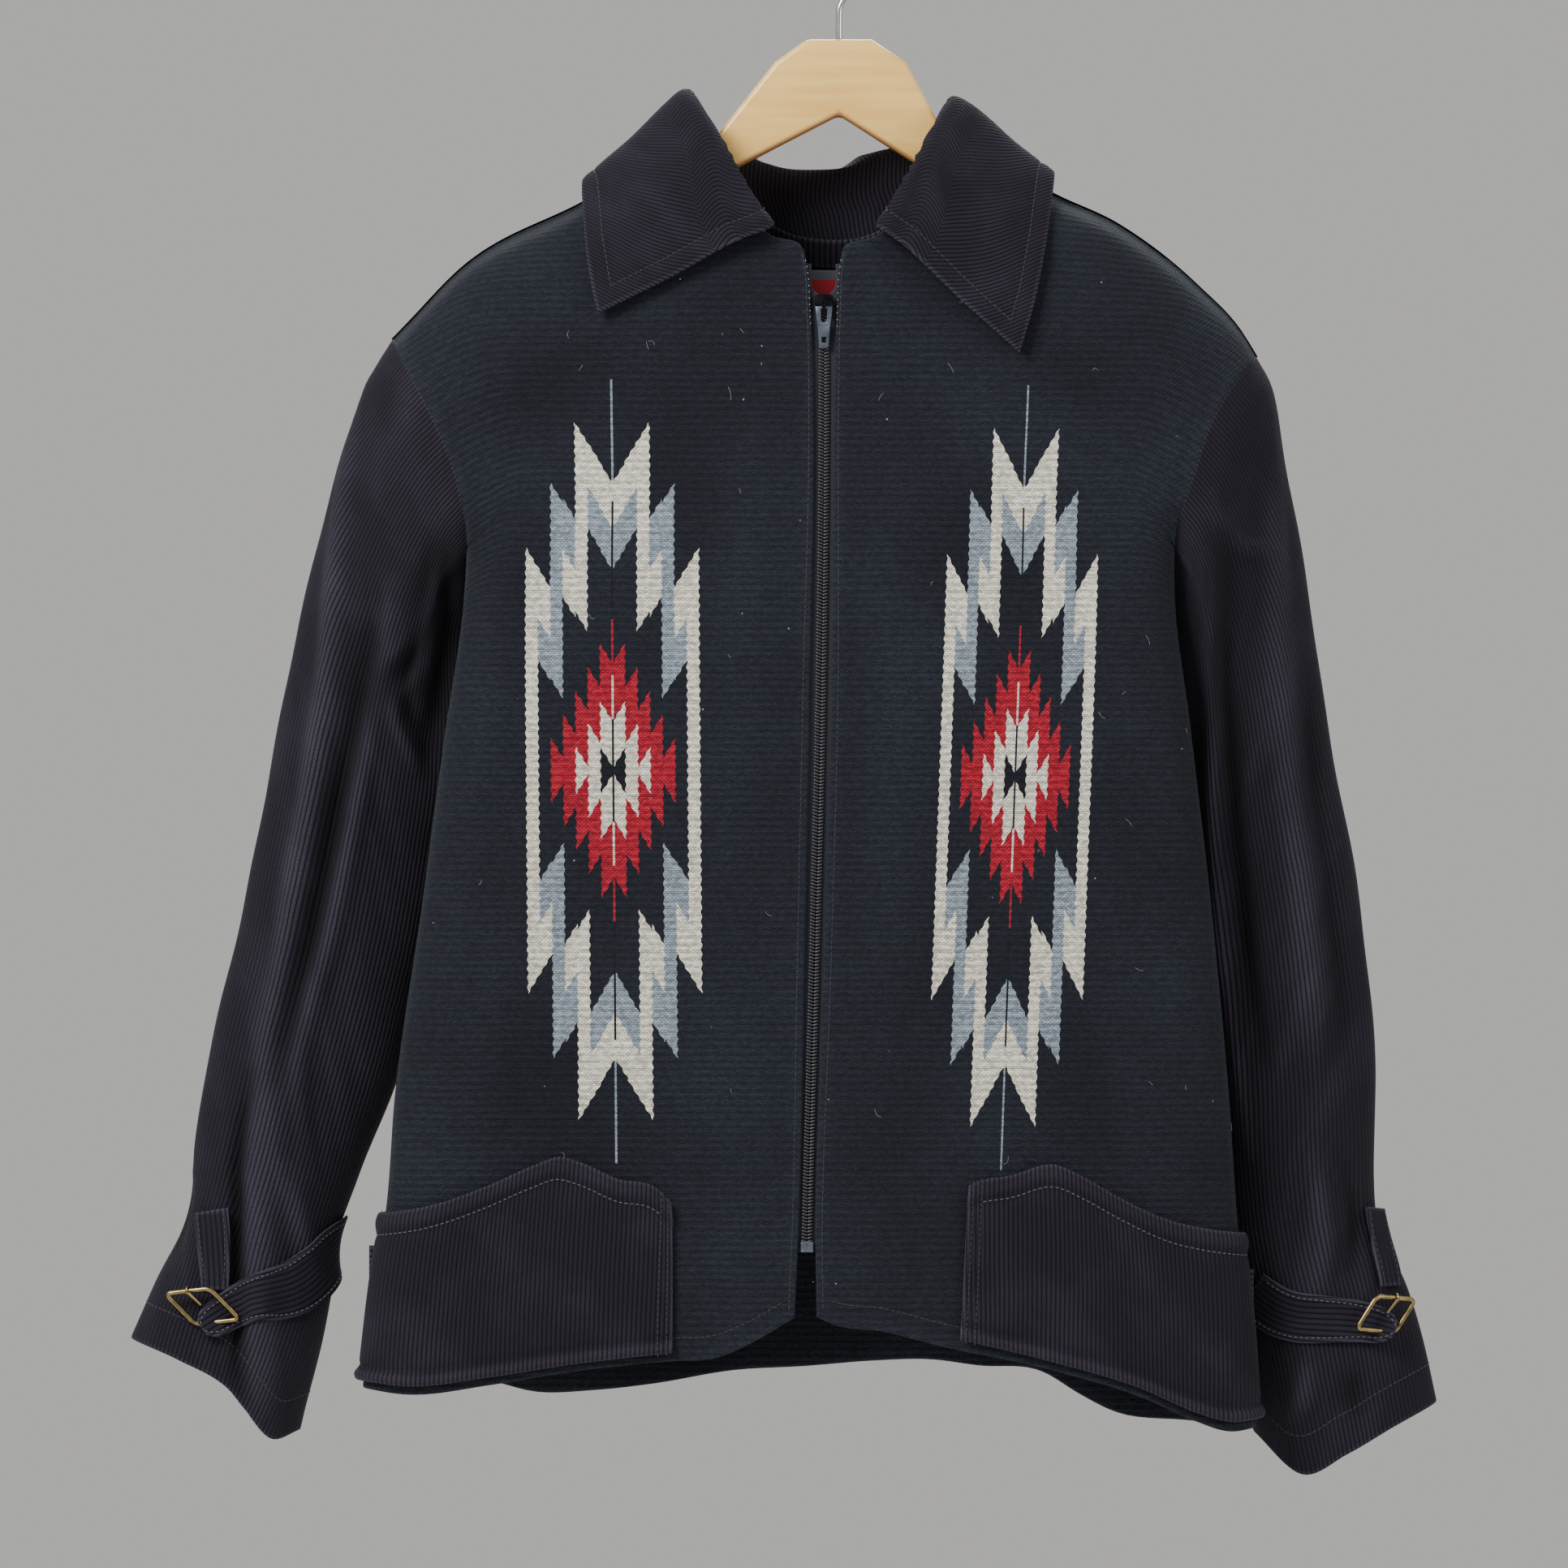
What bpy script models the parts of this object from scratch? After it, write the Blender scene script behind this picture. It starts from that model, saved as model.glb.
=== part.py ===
"""A waist-length zip jacket of hand-woven wool with corduroy sleeves, collar and pockets, on a wooden hanger.

The part hangs from the hanger's hook: the origin is the inside of the hook's top, +Z is up and -Y is
the front. Right and left are the wearer's. Tables are in millimetres: "down" is the distance below the
origin, "out" is the distance sideways from the middle, and "x" is the sideways place, with the wearer's
left positive.
Each cloth piece is a grid of points on its outer face, given its thickness along the normals.
"""

import math

import bpy
import numpy as np
from mathutils import Vector

MM = 0.001

# Walls of the cloths and the gap that keeps two pieces apart at a seam
WOOL = 2.5
CORDUROY = 2.0
TWO_CORDUROYS = 3.2
TAPE = 0.9
SEAM_GAP = 0.3
CLEARANCE = 1.3
POCKET_LIFT = 1.6
BAND_LIFT = 0.9

# The body: its depths in front of and behind the side seams, and how its edges turn
SHOULDER_ROLL = 90.0
SIDE_SEAM_TUCK = 18.0
FRONT_TURN = 32.0
BACK_TURN = 46.0
TURN_SHARE = 0.4
SIDE_DEPTH_SHARE = 1.0 - TURN_SHARE
SEAM_LEAD = 6.0
SEAM_LEAD_Y = -9.0
UNDERARM = 420.0
WRAP_STARTS = 355.0
TURN_STARTS = 320.0
TURN_LENGTH = 60.0

# down, depth of the front, depth of the back
BODY_DEPTHS = (
    (120, 36, 32), (180, 38, 34), (230, 42, 38), (280, 46, 41), (340, 54, 44),
    (420, 58, 45), (550, 55, 43), (700, 50, 38), (840, 45, 32),
)

# One dictionary for each side. edge: down, out, the outline of the front; its first row is the shoulder tip.
# shoulder: out, down. neckline: out, down. front_edge: down, out, beside the zip. hem: out, down.
# pocket_top and pocket_bottom: out, down.
RIGHT = {
    "name": "right",
    "sign": -1.0,
    "edge": (
        (237, 249), (263, 235), (304, 215.6), (344, 206.6), (385, 208), (455, 218), (559, 232),
        (656, 246), (720, 251), (760, 257), (819, 264),
    ),
    "shoulder": ((0, 77), (80, 124), (140, 159), (213, 199.5), (240, 227.7), (249, 237)),
    "neckline": ((80, 124), (63, 150), (41, 179), (24, 184.5), (19.5, 190)),
    "front_edge": (
        (190, 19.5), (205, 16.6), (221, 15.8), (455, 16.8), (590, 19.4), (738, 22.8), (779, 24.8),
    ),
    "hem": (
        (24.8, 779.4), (48.6, 793.4), (69, 802), (91, 803.5), (150, 809.6), (191, 816.3), (238, 822),
        (264, 819),
    ),
    "pocket_top": (
        (92, 716), (100, 708), (123, 702), (145, 692.6), (155.7, 690), (170.6, 694.8), (196, 706),
        (230, 717.8), (252, 722),
    ),
    "pocket_bottom": ((92, 799), (150, 805.5), (191, 812), (238, 817.5), (264, 815)),
    "pocket_inner": (92, 92),
}
LEFT = {
    "name": "left",
    "sign": 1.0,
    "edge": (
        (247, 233), (261, 220), (282, 207), (313, 196), (344, 186.5), (375, 185.5), (455, 194.5),
        (559, 206.6), (656, 215.6), (720, 220), (780, 226.5), (841, 231),
    ),
    "shoulder": ((0, 80), (69, 124), (118, 155), (156, 173), (201, 208), (225.5, 234.5), (233, 247)),
    "neckline": ((69, 124), (49, 150), (24, 179), (5, 185.5), (1.5, 190)),
    "front_edge": (
        (190, 1.5), (205, -0.8), (221, -1.4), (455, -4.8), (590, -8.8), (738, -13.2), (779, -12.6),
    ),
    "hem": (
        (-12.6, 779), (-2.3, 783.5), (24, 787), (54.5, 794.7), (116.6, 808), (168, 823.5), (196, 836),
        (217, 842), (231, 840.5),
    ),
    "pocket_top": (
        (66, 709), (72.5, 705), (95, 700), (120.6, 694.4), (135, 700.7), (155.7, 712.4), (181.4, 724.5),
        (200.7, 729.5), (221, 733),
    ),
    "pocket_bottom": ((66, 791.5), (116.6, 803.5), (168, 819), (196, 831.5), (217, 837.5), (231, 836)),
    "pocket_inner": (71, 66.6),
}
SIDES = (RIGHT, LEFT)

# x, down: the back's lower edge and neckline
BACK_HEM = (
    (-246, 819), (-196, 818), (-170, 824), (-137, 823), (-103, 819), (-60, 811.5), (-18, 808.7), (19, 805.5),
    (52, 804.6), (78, 807.8), (114, 811), (135, 823.5), (153, 832.5), (196, 837), (213, 838),
)
BACK_NECKLINE = ((-80, 124), (-60, 154), (-33, 175), (-8, 181), (20, 177), (49, 154), (69, 124))

# Rows and columns of the faceted cloth
ARM_STEPS = 7
SIDE_STEPS = 8
FRONT_COLUMNS = 11
BACK_COLUMNS = 20

# Sleeve sections from the armhole to the cuff: outer out, outer down, inner out, inner down, middle y,
# half depth. The armhole itself comes from the body, so the first row only gives its ends.
RIGHT["sleeve"] = (
    (249, 237, 195, 420, 0, 46), (263.5, 262, 199.5, 429, 4, 44), (282.6, 320, 203, 447, 8, 38),
    (299.9, 390, 207, 477, 13, 33), (315, 465, 215, 522, 16, 31), (334.4, 558.5, 228, 590, 18, 30),
    (353, 645, 249, 655, 18, 28), (361.8, 702, 268, 702.5, 17, 26), (370, 735, 280, 736.7, 16, 26),
    (383, 765, 283, 770, 15, 27), (395.6, 793, 300, 845, 14, 28),
)
LEFT["sleeve"] = (
    (233, 247, 172, 420, 0, 46), (243.5, 270, 177.5, 432, 4, 44), (252, 320, 180.5, 452, 8, 38),
    (263.5, 390, 184, 483, 13, 33), (275, 465, 191, 528, 16, 31), (291.5, 558.5, 200, 595, 18, 30),
    (299.3, 640, 206, 655, 18, 28), (298, 702.5, 212, 705, 17, 26), (303, 735, 216, 745, 16, 26),
    (317.7, 765, 221, 785, 15, 27), (333.9, 829, 231, 844, 14, 28),
)
# share of the way across the cuff, drop of its front edge below the straight line
RIGHT["cuff_drop"] = ((0, 0), (0.3, -4), (0.6, -3), (0.84, 12), (1, 0))
LEFT["cuff_drop"] = ((0, 0), (0.25, 9), (0.5, 20), (0.75, 28), (1, 2))
CUFF_BACK_LIFT = 6.0
# The seam's gap as (out, y, down), and how much of the armhole's shape each of the first sections keeps
OFF_ARMHOLE = (0.9, 0.0, 0.25)
ARMHOLE_SHARES = (1.0, 0.7, 0.28)

# Collar: seam x, seam down, roll x, roll down, roll y, edge x, edge down, face (-1 front, 0 shoulder,
# 1 back)
COLLAR_STATIONS = (
    (-37, 176.5, -41, 179.5, -45, -133.2, 225.5, -1), (-49, 161, -57, 151, -38, -137, 208, -1),
    (-60, 145, -70, 125, -27, -140, 186, -1), (-74, 117, -85, 100.8, -2, -141, 151, 0),
    (-56, 142, -72, 120, 24, -128, 182, 1), (-28, 168, -40, 139, 38, -65, 213, 1),
    (-8, 175, -10, 142.5, 40, -8, 219, 1), (17, 169.5, 22, 133, 38, 50, 211, 1),
    (44, 142, 54, 119, 24, 108, 182, 1), (62, 117, 63.5, 105, -2, 118.5, 147, 0),
    (46, 145, 49, 131, -27, 114, 186, -1), (33, 161, 37, 155, -38, 108, 218, -1),
    (22, 176.5, 24, 179.5, -45, 99.5, 247, -1),
)
COLLAR_LENGTHWISE = 26
COLLAR_LIFT = 4.0
ROLL_PUFF = 2.0
FACING_SPAN = (-48.0, 34.0)
FACING_HEIGHT = 17.0
LABEL_SIZE = (60.0, 35.0)
LABEL_X = -8.0
LABEL_THICKNESS = 1.0
LABEL_LIFT = 1.2

# Zip: down of its top, its slider, the lower end of the coil and the box
ZIP_TOP = 197.0
SLIDER_TOP = 214.0
SLIDER_LENGTH = 11.0
COIL_BOTTOM = 737.0
BOX_BOTTOM = 743.0
TAPE_LIFT = 0.8
COIL_WIDTH = 6.3
COIL_HEIGHT = 1.6
TAPE_WIDTH = 14.0
TAPES_APART = 0.2
BOX_WIDTH = 6.8
BOX_DEPTH = 2.9
SLIDER_WIDTH = 10.6
SLIDER_TAPER = 0.86
SLIDER_CORNER = 2.2
SLIDER_POST = 2.4
POST_LENGTH = 5.6
PLATE = 1.1
REAR_GAP = 1.0
BRIDGE_WIDTH = 2.0
BRIDGE_HEIGHT = 3.3
BRIDGE_WALL = 0.9

# The pull: its axis on the bridge, one side of its outline as (half width, down from the axis), the slot
# round the bridge and the square hole
PULL_DOWN = 221.6
PULL_STAND_OFF = 1.3
PULL_THICKNESS = 1.0
EYE_BELOW = 1.3
PULL_HALF = ((4.6, -0.7), (4.4, 3.0), (3.4, 10.0), (2.6, 21.3), (1.8, 22.3))
SLOT_HALF = 1.7
SLOT_TOP = 0.6
SLOT_END = 6.4
EYE_HALF = 1.3
EYE_TOP = 16.1
EYE_END = 19.3

# Cuff straps and buckle tabs on the sleeve: angle round it (0 outer, 90 front, 180 inner), section
# number, half width
RIGHT["strap"] = (
    (192, 8.05, 16), (165, 8.3, 16.5), (140, 8.62, 16.5), (116, 8.9, 15.5), (98, 9.12, 12.5),
    (86, 9.32, 10.5), (77, 9.5, 8.5),
)
LEFT["strap"] = (
    (138, 8.78, 14.5), (126, 8.85, 15.5), (110, 8.92, 15), (95, 9.0, 13.5), (78, 9.08, 12), (62, 9.2, 10),
    (50, 9.32, 8.5),
)
RIGHT["tab"] = ((52, 7.55, 10.5), (60, 8.0, 10.5), (67, 8.45, 10.5), (73, 8.88, 10))
LEFT["tab"] = ((18, 7.5, 10), (22, 8.0, 10), (27, 8.35, 10), (31, 8.68, 10))
# Buckle: middle x, down and y, turn in the picture plane and turn about the sleeve in degrees
RIGHT["buckle"] = (-353.5, 774.5, -18.0, -7.0, -10.0)
LEFT["buckle"] = (304.5, 779.0, -14.5, 6.0, 30.0)
BUCKLE_WIDTH = 20.5
BUCKLE_HEIGHT = 19.0
BUCKLE_CORNER = 4.0
BUCKLE_LEAN = 10.0
WIRE = 2.7

# Small tabs at the side seams: height, depth, start inside the front's outline and reach beyond it
SIDE_TAB_HEIGHT = 20.0
SIDE_TAB_Y = -8.8
SIDE_TAB_ROOT = 8.8
SIDE_TAB_REACH = 5.5
RIGHT["side_tab_down"] = 751.0
LEFT["side_tab_down"] = 764.0

# Hanger: x, down, along its top edge from right to left and back along its lower edge
HANGER_TOP = (
    (-222, 219), (-213, 209), (-140, 169), (-100, 148), (-69.3, 125.5), (-35.6, 83), (-18, 70.5), (18, 70.5),
    (37, 83), (59, 123.5), (90, 147), (156, 183), (201, 218), (209, 228),
)
HANGER_BOTTOM = ((198, 234), (140, 198), (44.6, 141.3), (0, 113), (-61.2, 144.5), (-140, 191), (-207, 226))
HANGER_THICKNESS = 10.5
HANGER_ROUNDING = 1.5
HOOK_WIRE = 3.6
HOOK_RADIUS = 20.0
HOOK_TURNS = (200.0, -62.0)
# x, down: the hook's neck
HOOK_NECK = ((3.4, 47.0), (0.6, 52.0), (0.0, 57.0), (0.0, 70.2))

# colour, roughness, metallic
FINISHES = {
    "wool": ((0.012, 0.018, 0.028), 0.95, 0.0),
    "corduroy": ((0.014, 0.012, 0.019), 0.9, 0.0),
    "tape": ((0.012, 0.012, 0.014), 0.85, 0.0),
    "coil": ((0.04, 0.042, 0.048), 0.45, 0.0),
    "label": ((0.05, 0.06, 0.07), 0.85, 0.0),
    "black_metal": ((0.01, 0.01, 0.012), 0.35, 0.6),
    "grey_metal": ((0.27, 0.3, 0.34), 0.38, 0.9),
    "brass": ((0.42, 0.3, 0.12), 0.35, 1.0),
    "wood": ((0.72, 0.53, 0.3), 0.35, 0.0),
    "hook_steel": ((0.6, 0.6, 0.6), 0.25, 1.0),
}


# ---------------------------------------------------------------- reading tables and making solids


def read(rows, at, column=1):
    """One column of a table at any key, on a smooth curve through its rows."""
    table = np.array(rows, float)
    keys = table[:, 0]
    values = table[:, column]
    slopes = np.gradient(values, keys)
    at = np.clip(at, keys[0], keys[-1])
    k = np.clip(np.searchsorted(keys, at) - 1, 0, len(keys) - 2)
    step = keys[k + 1] - keys[k]
    t = (at - keys[k]) / step
    start = values[k] * (2 * t**3 - 3 * t**2 + 1) + slopes[k] * step * (t**3 - 2 * t**2 + t)
    end = values[k + 1] * (3 * t**2 - 2 * t**3) + slopes[k + 1] * step * (t**3 - t**2)
    return start + end


def along(points, shares):
    """Points at shares of the length of a line of points."""
    points = np.array(points, float)
    steps = np.linalg.norm(np.diff(points, axis=0), axis=1)
    length = np.concatenate([[0], np.cumsum(steps)])
    return np.stack([np.interp(np.array(shares) * length[-1], length, c) for c in points.T], axis=-1)


def rounded(t):
    """A quarter circle from 0 to 1."""
    return np.sqrt(1 - (1 - np.clip(t, 0, 1)) ** 2)


def eased(t):
    t = np.clip(t, 0, 1)
    return t * t * (3 - 2 * t)


def material(name):
    made = bpy.data.materials.get(name)
    if made is None:
        colour, roughness, metallic = FINISHES[name]
        made = bpy.data.materials.new(name)
        made.use_nodes = True
        shader = made.node_tree.nodes["Principled BSDF"]
        shader.inputs["Base Color"].default_value = (*colour, 1)
        shader.inputs["Roughness"].default_value = roughness
        shader.inputs["Metallic"].default_value = metallic
        made.diffuse_color = (*colour, 1)
    return made


def solid(name, points, faces, finish, smooth=True):
    """A mesh object from points in millimetres."""
    mesh = bpy.data.meshes.new(name)
    mesh.from_pydata([Vector(p) * MM for p in np.array(points, float)], [], faces)
    mesh.update()
    if smooth:
        mesh.shade_smooth()
    mesh.materials.append(material(finish))
    made = bpy.data.objects.new(name, mesh)
    bpy.context.scene.collection.objects.link(made)
    return made


def grid_normals(grid, round_columns):
    """Unit normals of a grid of points, along the cross product of its rows and columns."""
    across = np.gradient(grid, axis=1)
    if round_columns:
        across = (np.roll(grid, -1, axis=1) - np.roll(grid, 1, axis=1)) / 2
    down = np.gradient(grid, axis=0)
    normals = np.cross(across, down)
    return normals / np.linalg.norm(normals, axis=2, keepdims=True)


def cloth(name, grid, thickness, finish, tube=False, keep_to=0):
    """A wall from a grid of points on one face, which grows against the normals. A tube's columns close up.

    keep_to -1 keeps it in front of the side and shoulder seams, and 1 behind them.
    """
    rows, columns = grid.shape[:2]
    far = grid - grid_normals(grid, tube) * thickness
    if keep_to:
        far[:, :, 1] = keep_to * np.maximum(keep_to * far[:, :, 1], SEAM_GAP / 2)
    points = np.concatenate([grid.reshape(-1, 3), far.reshape(-1, 3)])
    back = rows * columns

    def at(row, column, layer=0):
        return row * columns + column % columns + layer

    steps = columns if tube else columns - 1
    faces = []
    for r in range(rows - 1):
        for c in range(steps):
            quad = (at(r, c), at(r, c + 1), at(r + 1, c + 1), at(r + 1, c))
            faces.append(quad)
            faces.append(tuple(v + back for v in reversed(quad)))
    for c in range(steps):
        faces.append((at(0, c + 1), at(0, c), at(0, c, back), at(0, c + 1, back)))
        last = rows - 1
        faces.append((at(last, c), at(last, c + 1), at(last, c + 1, back), at(last, c, back)))
    if not tube:
        for r in range(rows - 1):
            faces.append((at(r, 0), at(r + 1, 0), at(r + 1, 0, back), at(r, 0, back)))
            end = columns - 1
            faces.append((at(r + 1, end), at(r, end), at(r, end, back), at(r + 1, end, back)))
    made = solid(name, points, [tuple(int(v) for v in f) for f in faces], finish)
    made.data.set_sharp_from_angle(angle=math.radians(60))
    return made


def extruded(name, outline, y_from, y_to, finish):
    """A plate from an outline of (x, down) points, between two depths."""
    count = len(outline)
    points = [(x, y, -down) for y in (y_from, y_to) for x, down in outline]
    area = sum(a[0] * b[1] - b[0] * a[1] for a, b in zip(outline, [*outline[1:], outline[0]]))
    order = range(count) if area < 0 else range(count - 1, -1, -1)
    front = tuple(order)
    faces = [front, tuple(v + count for v in reversed(front))]
    for k in range(count):
        a, b = front[k], front[(k + 1) % count]
        faces.append((b, a, a + count, b + count))
    return solid(name, points, faces, finish, smooth=False)


def box(name, low, high, finish):
    """A box between two corners given as (x, y, down)."""
    outline = ((low[0], low[2]), (high[0], low[2]), (high[0], high[2]), (low[0], high[2]))
    return extruded(name, outline, low[1], high[1], finish)


def helper(made):
    """Marks a cutter or a piece that a Boolean joins, which is no node itself."""
    made.hide_render = True
    made.display_type = "WIRE"
    return made


def boolean(made, other, operation):
    change = made.modifiers.new(other.name, "BOOLEAN")
    change.operation = operation
    change.solver = "EXACT"
    change.object = helper(other)


def flat_wire(name, route, plane_normal, radius, sides, finish, loop):
    """A round wire along points in one plane. A loop's ends join, and others are capped."""
    route = np.array(route, float)
    count = len(route)
    ahead = np.roll(route, -1, axis=0) - np.roll(route, 1, axis=0)
    if not loop:
        ahead[0] = route[1] - route[0]
        ahead[-1] = route[-1] - route[-2]
    ahead /= np.linalg.norm(ahead, axis=1, keepdims=True)
    up = np.array(plane_normal, float)
    aside = np.cross(ahead, up)
    turns = np.arange(sides) * 2 * math.pi / sides
    ring = np.cos(turns)[:, None, None] * aside + np.sin(turns)[:, None, None] * up
    points = (route + radius * ring).transpose(1, 0, 2).reshape(-1, 3)
    faces = []
    for k in range(count if loop else count - 1):
        start = k * sides
        after = (k + 1) % count * sides
        for s in range(sides):
            t = (s + 1) % sides
            faces.append((start + s, after + s, after + t, start + t))
    if not loop:
        faces.append(tuple(range(sides)))
        faces.append(tuple(range(count * sides - 1, (count - 1) * sides - 1, -1)))
    return solid(name, points, faces, finish)


# ---------------------------------------------------------------- the form of the body


def drop_below_shoulder(side, out, down):
    return down - read(side["shoulder"], out)


def front_y(side, out, down):
    """Depth of the front's outer face at a place in the picture plane."""
    inward = np.maximum(read(side["edge"], down) - out, 0)
    turned = eased((down - TURN_STARTS) / TURN_LENGTH)
    edge = 1 - TURN_SHARE * turned * (1 - rounded(inward / FRONT_TURN))
    return -read(BODY_DEPTHS, down) * rounded(drop_below_shoulder(side, out, down) / SHOULDER_ROLL) * edge


def back_edge(side, down):
    """How far out the back reaches: its armhole, then the side seam."""
    tip = side["edge"][0][0]
    return read(side["edge"], down) - SIDE_SEAM_TUCK * eased((down - tip) / (UNDERARM - tip))


def back_y(side, out, down):
    inward = np.maximum(back_edge(side, down) - out, 0)
    turned = eased((down - TURN_STARTS) / (UNDERARM - TURN_STARTS))
    edge = 1 - turned * (1 - rounded(inward / BACK_TURN))
    return read(BODY_DEPTHS, down, 2) * rounded(drop_below_shoulder(side, out, down) / SHOULDER_ROLL) * edge


def side_wrap(side, share, down):
    """The front's turn from its outline, share 0, back to the side seam, share 1, as (out, y)."""
    reach = read(side["edge"], down)
    depth = SIDE_DEPTH_SHARE * read(BODY_DEPTHS, down)
    seam = reach - SIDE_SEAM_TUCK
    ends = ((reach, -depth), (reach, -depth / 2), (seam + SEAM_LEAD, SEAM_LEAD_Y), (seam, 0))
    weights = ((1 - share) ** 3, 3 * share * (1 - share) ** 2, 3 * share**2 * (1 - share), share**3)
    return tuple(sum(w * e[axis] for w, e in zip(weights, ends)) for axis in (0, 1))


def wrap_share(down):
    """Where the front's own edge is on its turn: 0 above the turn, 1 from the underarm down."""
    return float(eased((down - WRAP_STARTS) / (UNDERARM - WRAP_STARTS)))


def side_downs(side):
    """Heights of the body's rows at the side, from the hem to the shoulder tip."""
    tip, hem = side["edge"][0][0], side["edge"][-1][0]
    seam = np.linspace(hem, UNDERARM, SIDE_STEPS + 1)
    turns = np.arange(1, ARM_STEPS + 1) * math.pi / ARM_STEPS
    return np.array([*seam, *(tip + (UNDERARM - tip) * (1 + np.cos(turns)) / 2)])


def patch(u, v, low, high, near, far, corners):
    """A Coons patch: the point at shares u across and v up, between the points there of its four edges."""
    between = (1 - u) * near + u * far + (1 - v) * low + v * high
    lower = (1 - u) * corners[0] + u * corners[1]
    upper = (1 - u) * corners[2] + u * corners[3]
    return between - (1 - v) * lower - v * upper


def shoulder_seam(side):
    """The shoulder seam from its tip to the neck, as (out, down)."""
    outs = np.linspace(side["shoulder"][-1][0], side["shoulder"][1][0], 25)
    return [(float(out), float(read(side["shoulder"], out))) for out in outs]


def neckline(rows):
    """A neck edge from its table, on a smooth curve from end to end."""
    keys = np.arange(len(rows))
    at = np.linspace(0, len(rows) - 1, 31)
    outs, downs = (read([(k, row[i]) for k, row in zip(keys, rows)], at) for i in (0, 1))
    return list(zip(outs.tolist(), downs.tolist()))


def front_grid(side, columns):
    """Outer face of one front as (x, y, -down): rows from the hem up, columns from the side to the zip."""
    fine = np.linspace(0, 1, 50)
    hem = np.stack([np.linspace(side["hem"][-1][0], side["hem"][0][0], 50)] * 2, axis=1)
    hem[:, 1] = read(side["hem"], hem[:, 0])
    top = along([*shoulder_seam(side), *neckline(side["neckline"])[1:]], fine)
    corners = (hem[0], hem[-1], top[0], top[-1])
    shares = np.linspace(0, 1, columns + 1) ** 1.4
    rows = []
    downs = side_downs(side)
    for down in downs:
        up = (downs[0] - down) / (downs[0] - downs[-1])
        near = np.array([read(side["edge"], down), down])
        zip_down = side["hem"][0][1] + up * (side["neckline"][-1][1] - side["hem"][0][1])
        far = np.array([read(side["front_edge"], zip_down), zip_down])
        flat = [patch(u, up, hem[k], top[k], near, far, corners) for k, u in enumerate(fine)]
        line = [(out, float(front_y(side, out, d)), d) for out, d in flat]
        first = wrap_share(down)
        if first > 0:
            turn = [side_wrap(side, s, down) for s in np.linspace(first, 0, 14)[:-1]]
            line = [(out, y, down) for out, y in turn] + line
        rows.append(along(line, shares))
    grid = np.array(rows)
    grid[:, :, 1] = np.minimum(grid[:, :, 1], -SEAM_GAP / 2)
    return in_place(grid, side["sign"])


def in_place(grid, sign):
    """(out, y, down) as (x, y, z) in millimetres."""
    return grid * np.array([sign, 1.0, -1.0])


def facing_out(grid, outward):
    """The grid with its columns turned round where its normals point away from a direction."""
    middle = grid_normals(grid, False)[grid.shape[0] // 2, grid.shape[1] // 2]
    return grid if middle @ np.array(outward, float) > 0 else grid[:, ::-1]


def body_y(x, down, face):
    side = RIGHT if x < 0 else LEFT
    return float((front_y if face < 0 else back_y)(side, abs(x), down))


def make_front(side):
    grid = facing_out(front_grid(side, FRONT_COLUMNS), (0, -1, 0))
    cloth(side["name"] + "_front", grid, WOOL, "wool", keep_to=-1)


def make_back():
    fine = np.linspace(0, 1, 61)
    hem = np.stack([np.linspace(BACK_HEM[0][0], BACK_HEM[-1][0], 61)] * 2, axis=1)
    hem[:, 1] = read(BACK_HEM, hem[:, 0])
    right = [(-out, down) for out, down in shoulder_seam(RIGHT)]
    left = shoulder_seam(LEFT)[::-1]
    top = along([*right, *neckline(BACK_NECKLINE)[1:-1], *left], fine)
    corners = (hem[0], hem[-1], top[0], top[-1])
    even = np.linspace(0, 1, BACK_COLUMNS + 1)
    shares = 0.35 * even + 0.65 * (1 - np.cos(math.pi * even)) / 2
    right_downs, left_downs = side_downs(RIGHT), side_downs(LEFT)
    steps = len(right_downs)
    rows = []
    for k in range(steps):
        down_r, down_l = right_downs[k], left_downs[k]
        up = (right_downs[0] - down_r) / (right_downs[0] - right_downs[-1])
        near = np.array([-back_edge(RIGHT, down_r), down_r])
        far = np.array([back_edge(LEFT, down_l), down_l])
        flat = [patch(u, up, hem[j], top[j], near, far, corners) for j, u in enumerate(fine)]
        rows.append(along([(x, body_y(x, d, 1), d) for x, d in flat], shares))
    grid = np.array(rows)
    grid[:, :, 1] = np.maximum(grid[:, :, 1], SEAM_GAP / 2)
    cloth("back", facing_out(in_place(grid, 1.0), (0, 1, 0)), WOOL, "wool", keep_to=1)


# ---------------------------------------------------------------- sleeves


def armhole_point(side, angle):
    """The armhole on the body: 0 at the shoulder tip, 90 in front, 180 at the underarm, 270 behind."""
    tip = side["edge"][0][0]
    down = tip + (UNDERARM - tip) * (1 - math.cos(math.radians(angle))) / 2
    if angle % 360 in (0, 180):
        return (float(back_edge(side, down)), 0.0, down)
    if angle > 180:
        out = float(back_edge(side, down))
        return (out, float(back_y(side, out, down)), down)
    share = wrap_share(down)
    if share > 0:
        out, y = side_wrap(side, share, down)
        return (float(out), float(y), down)
    out = float(read(side["edge"], down))
    return (out, float(front_y(side, out, down)), down)


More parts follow.
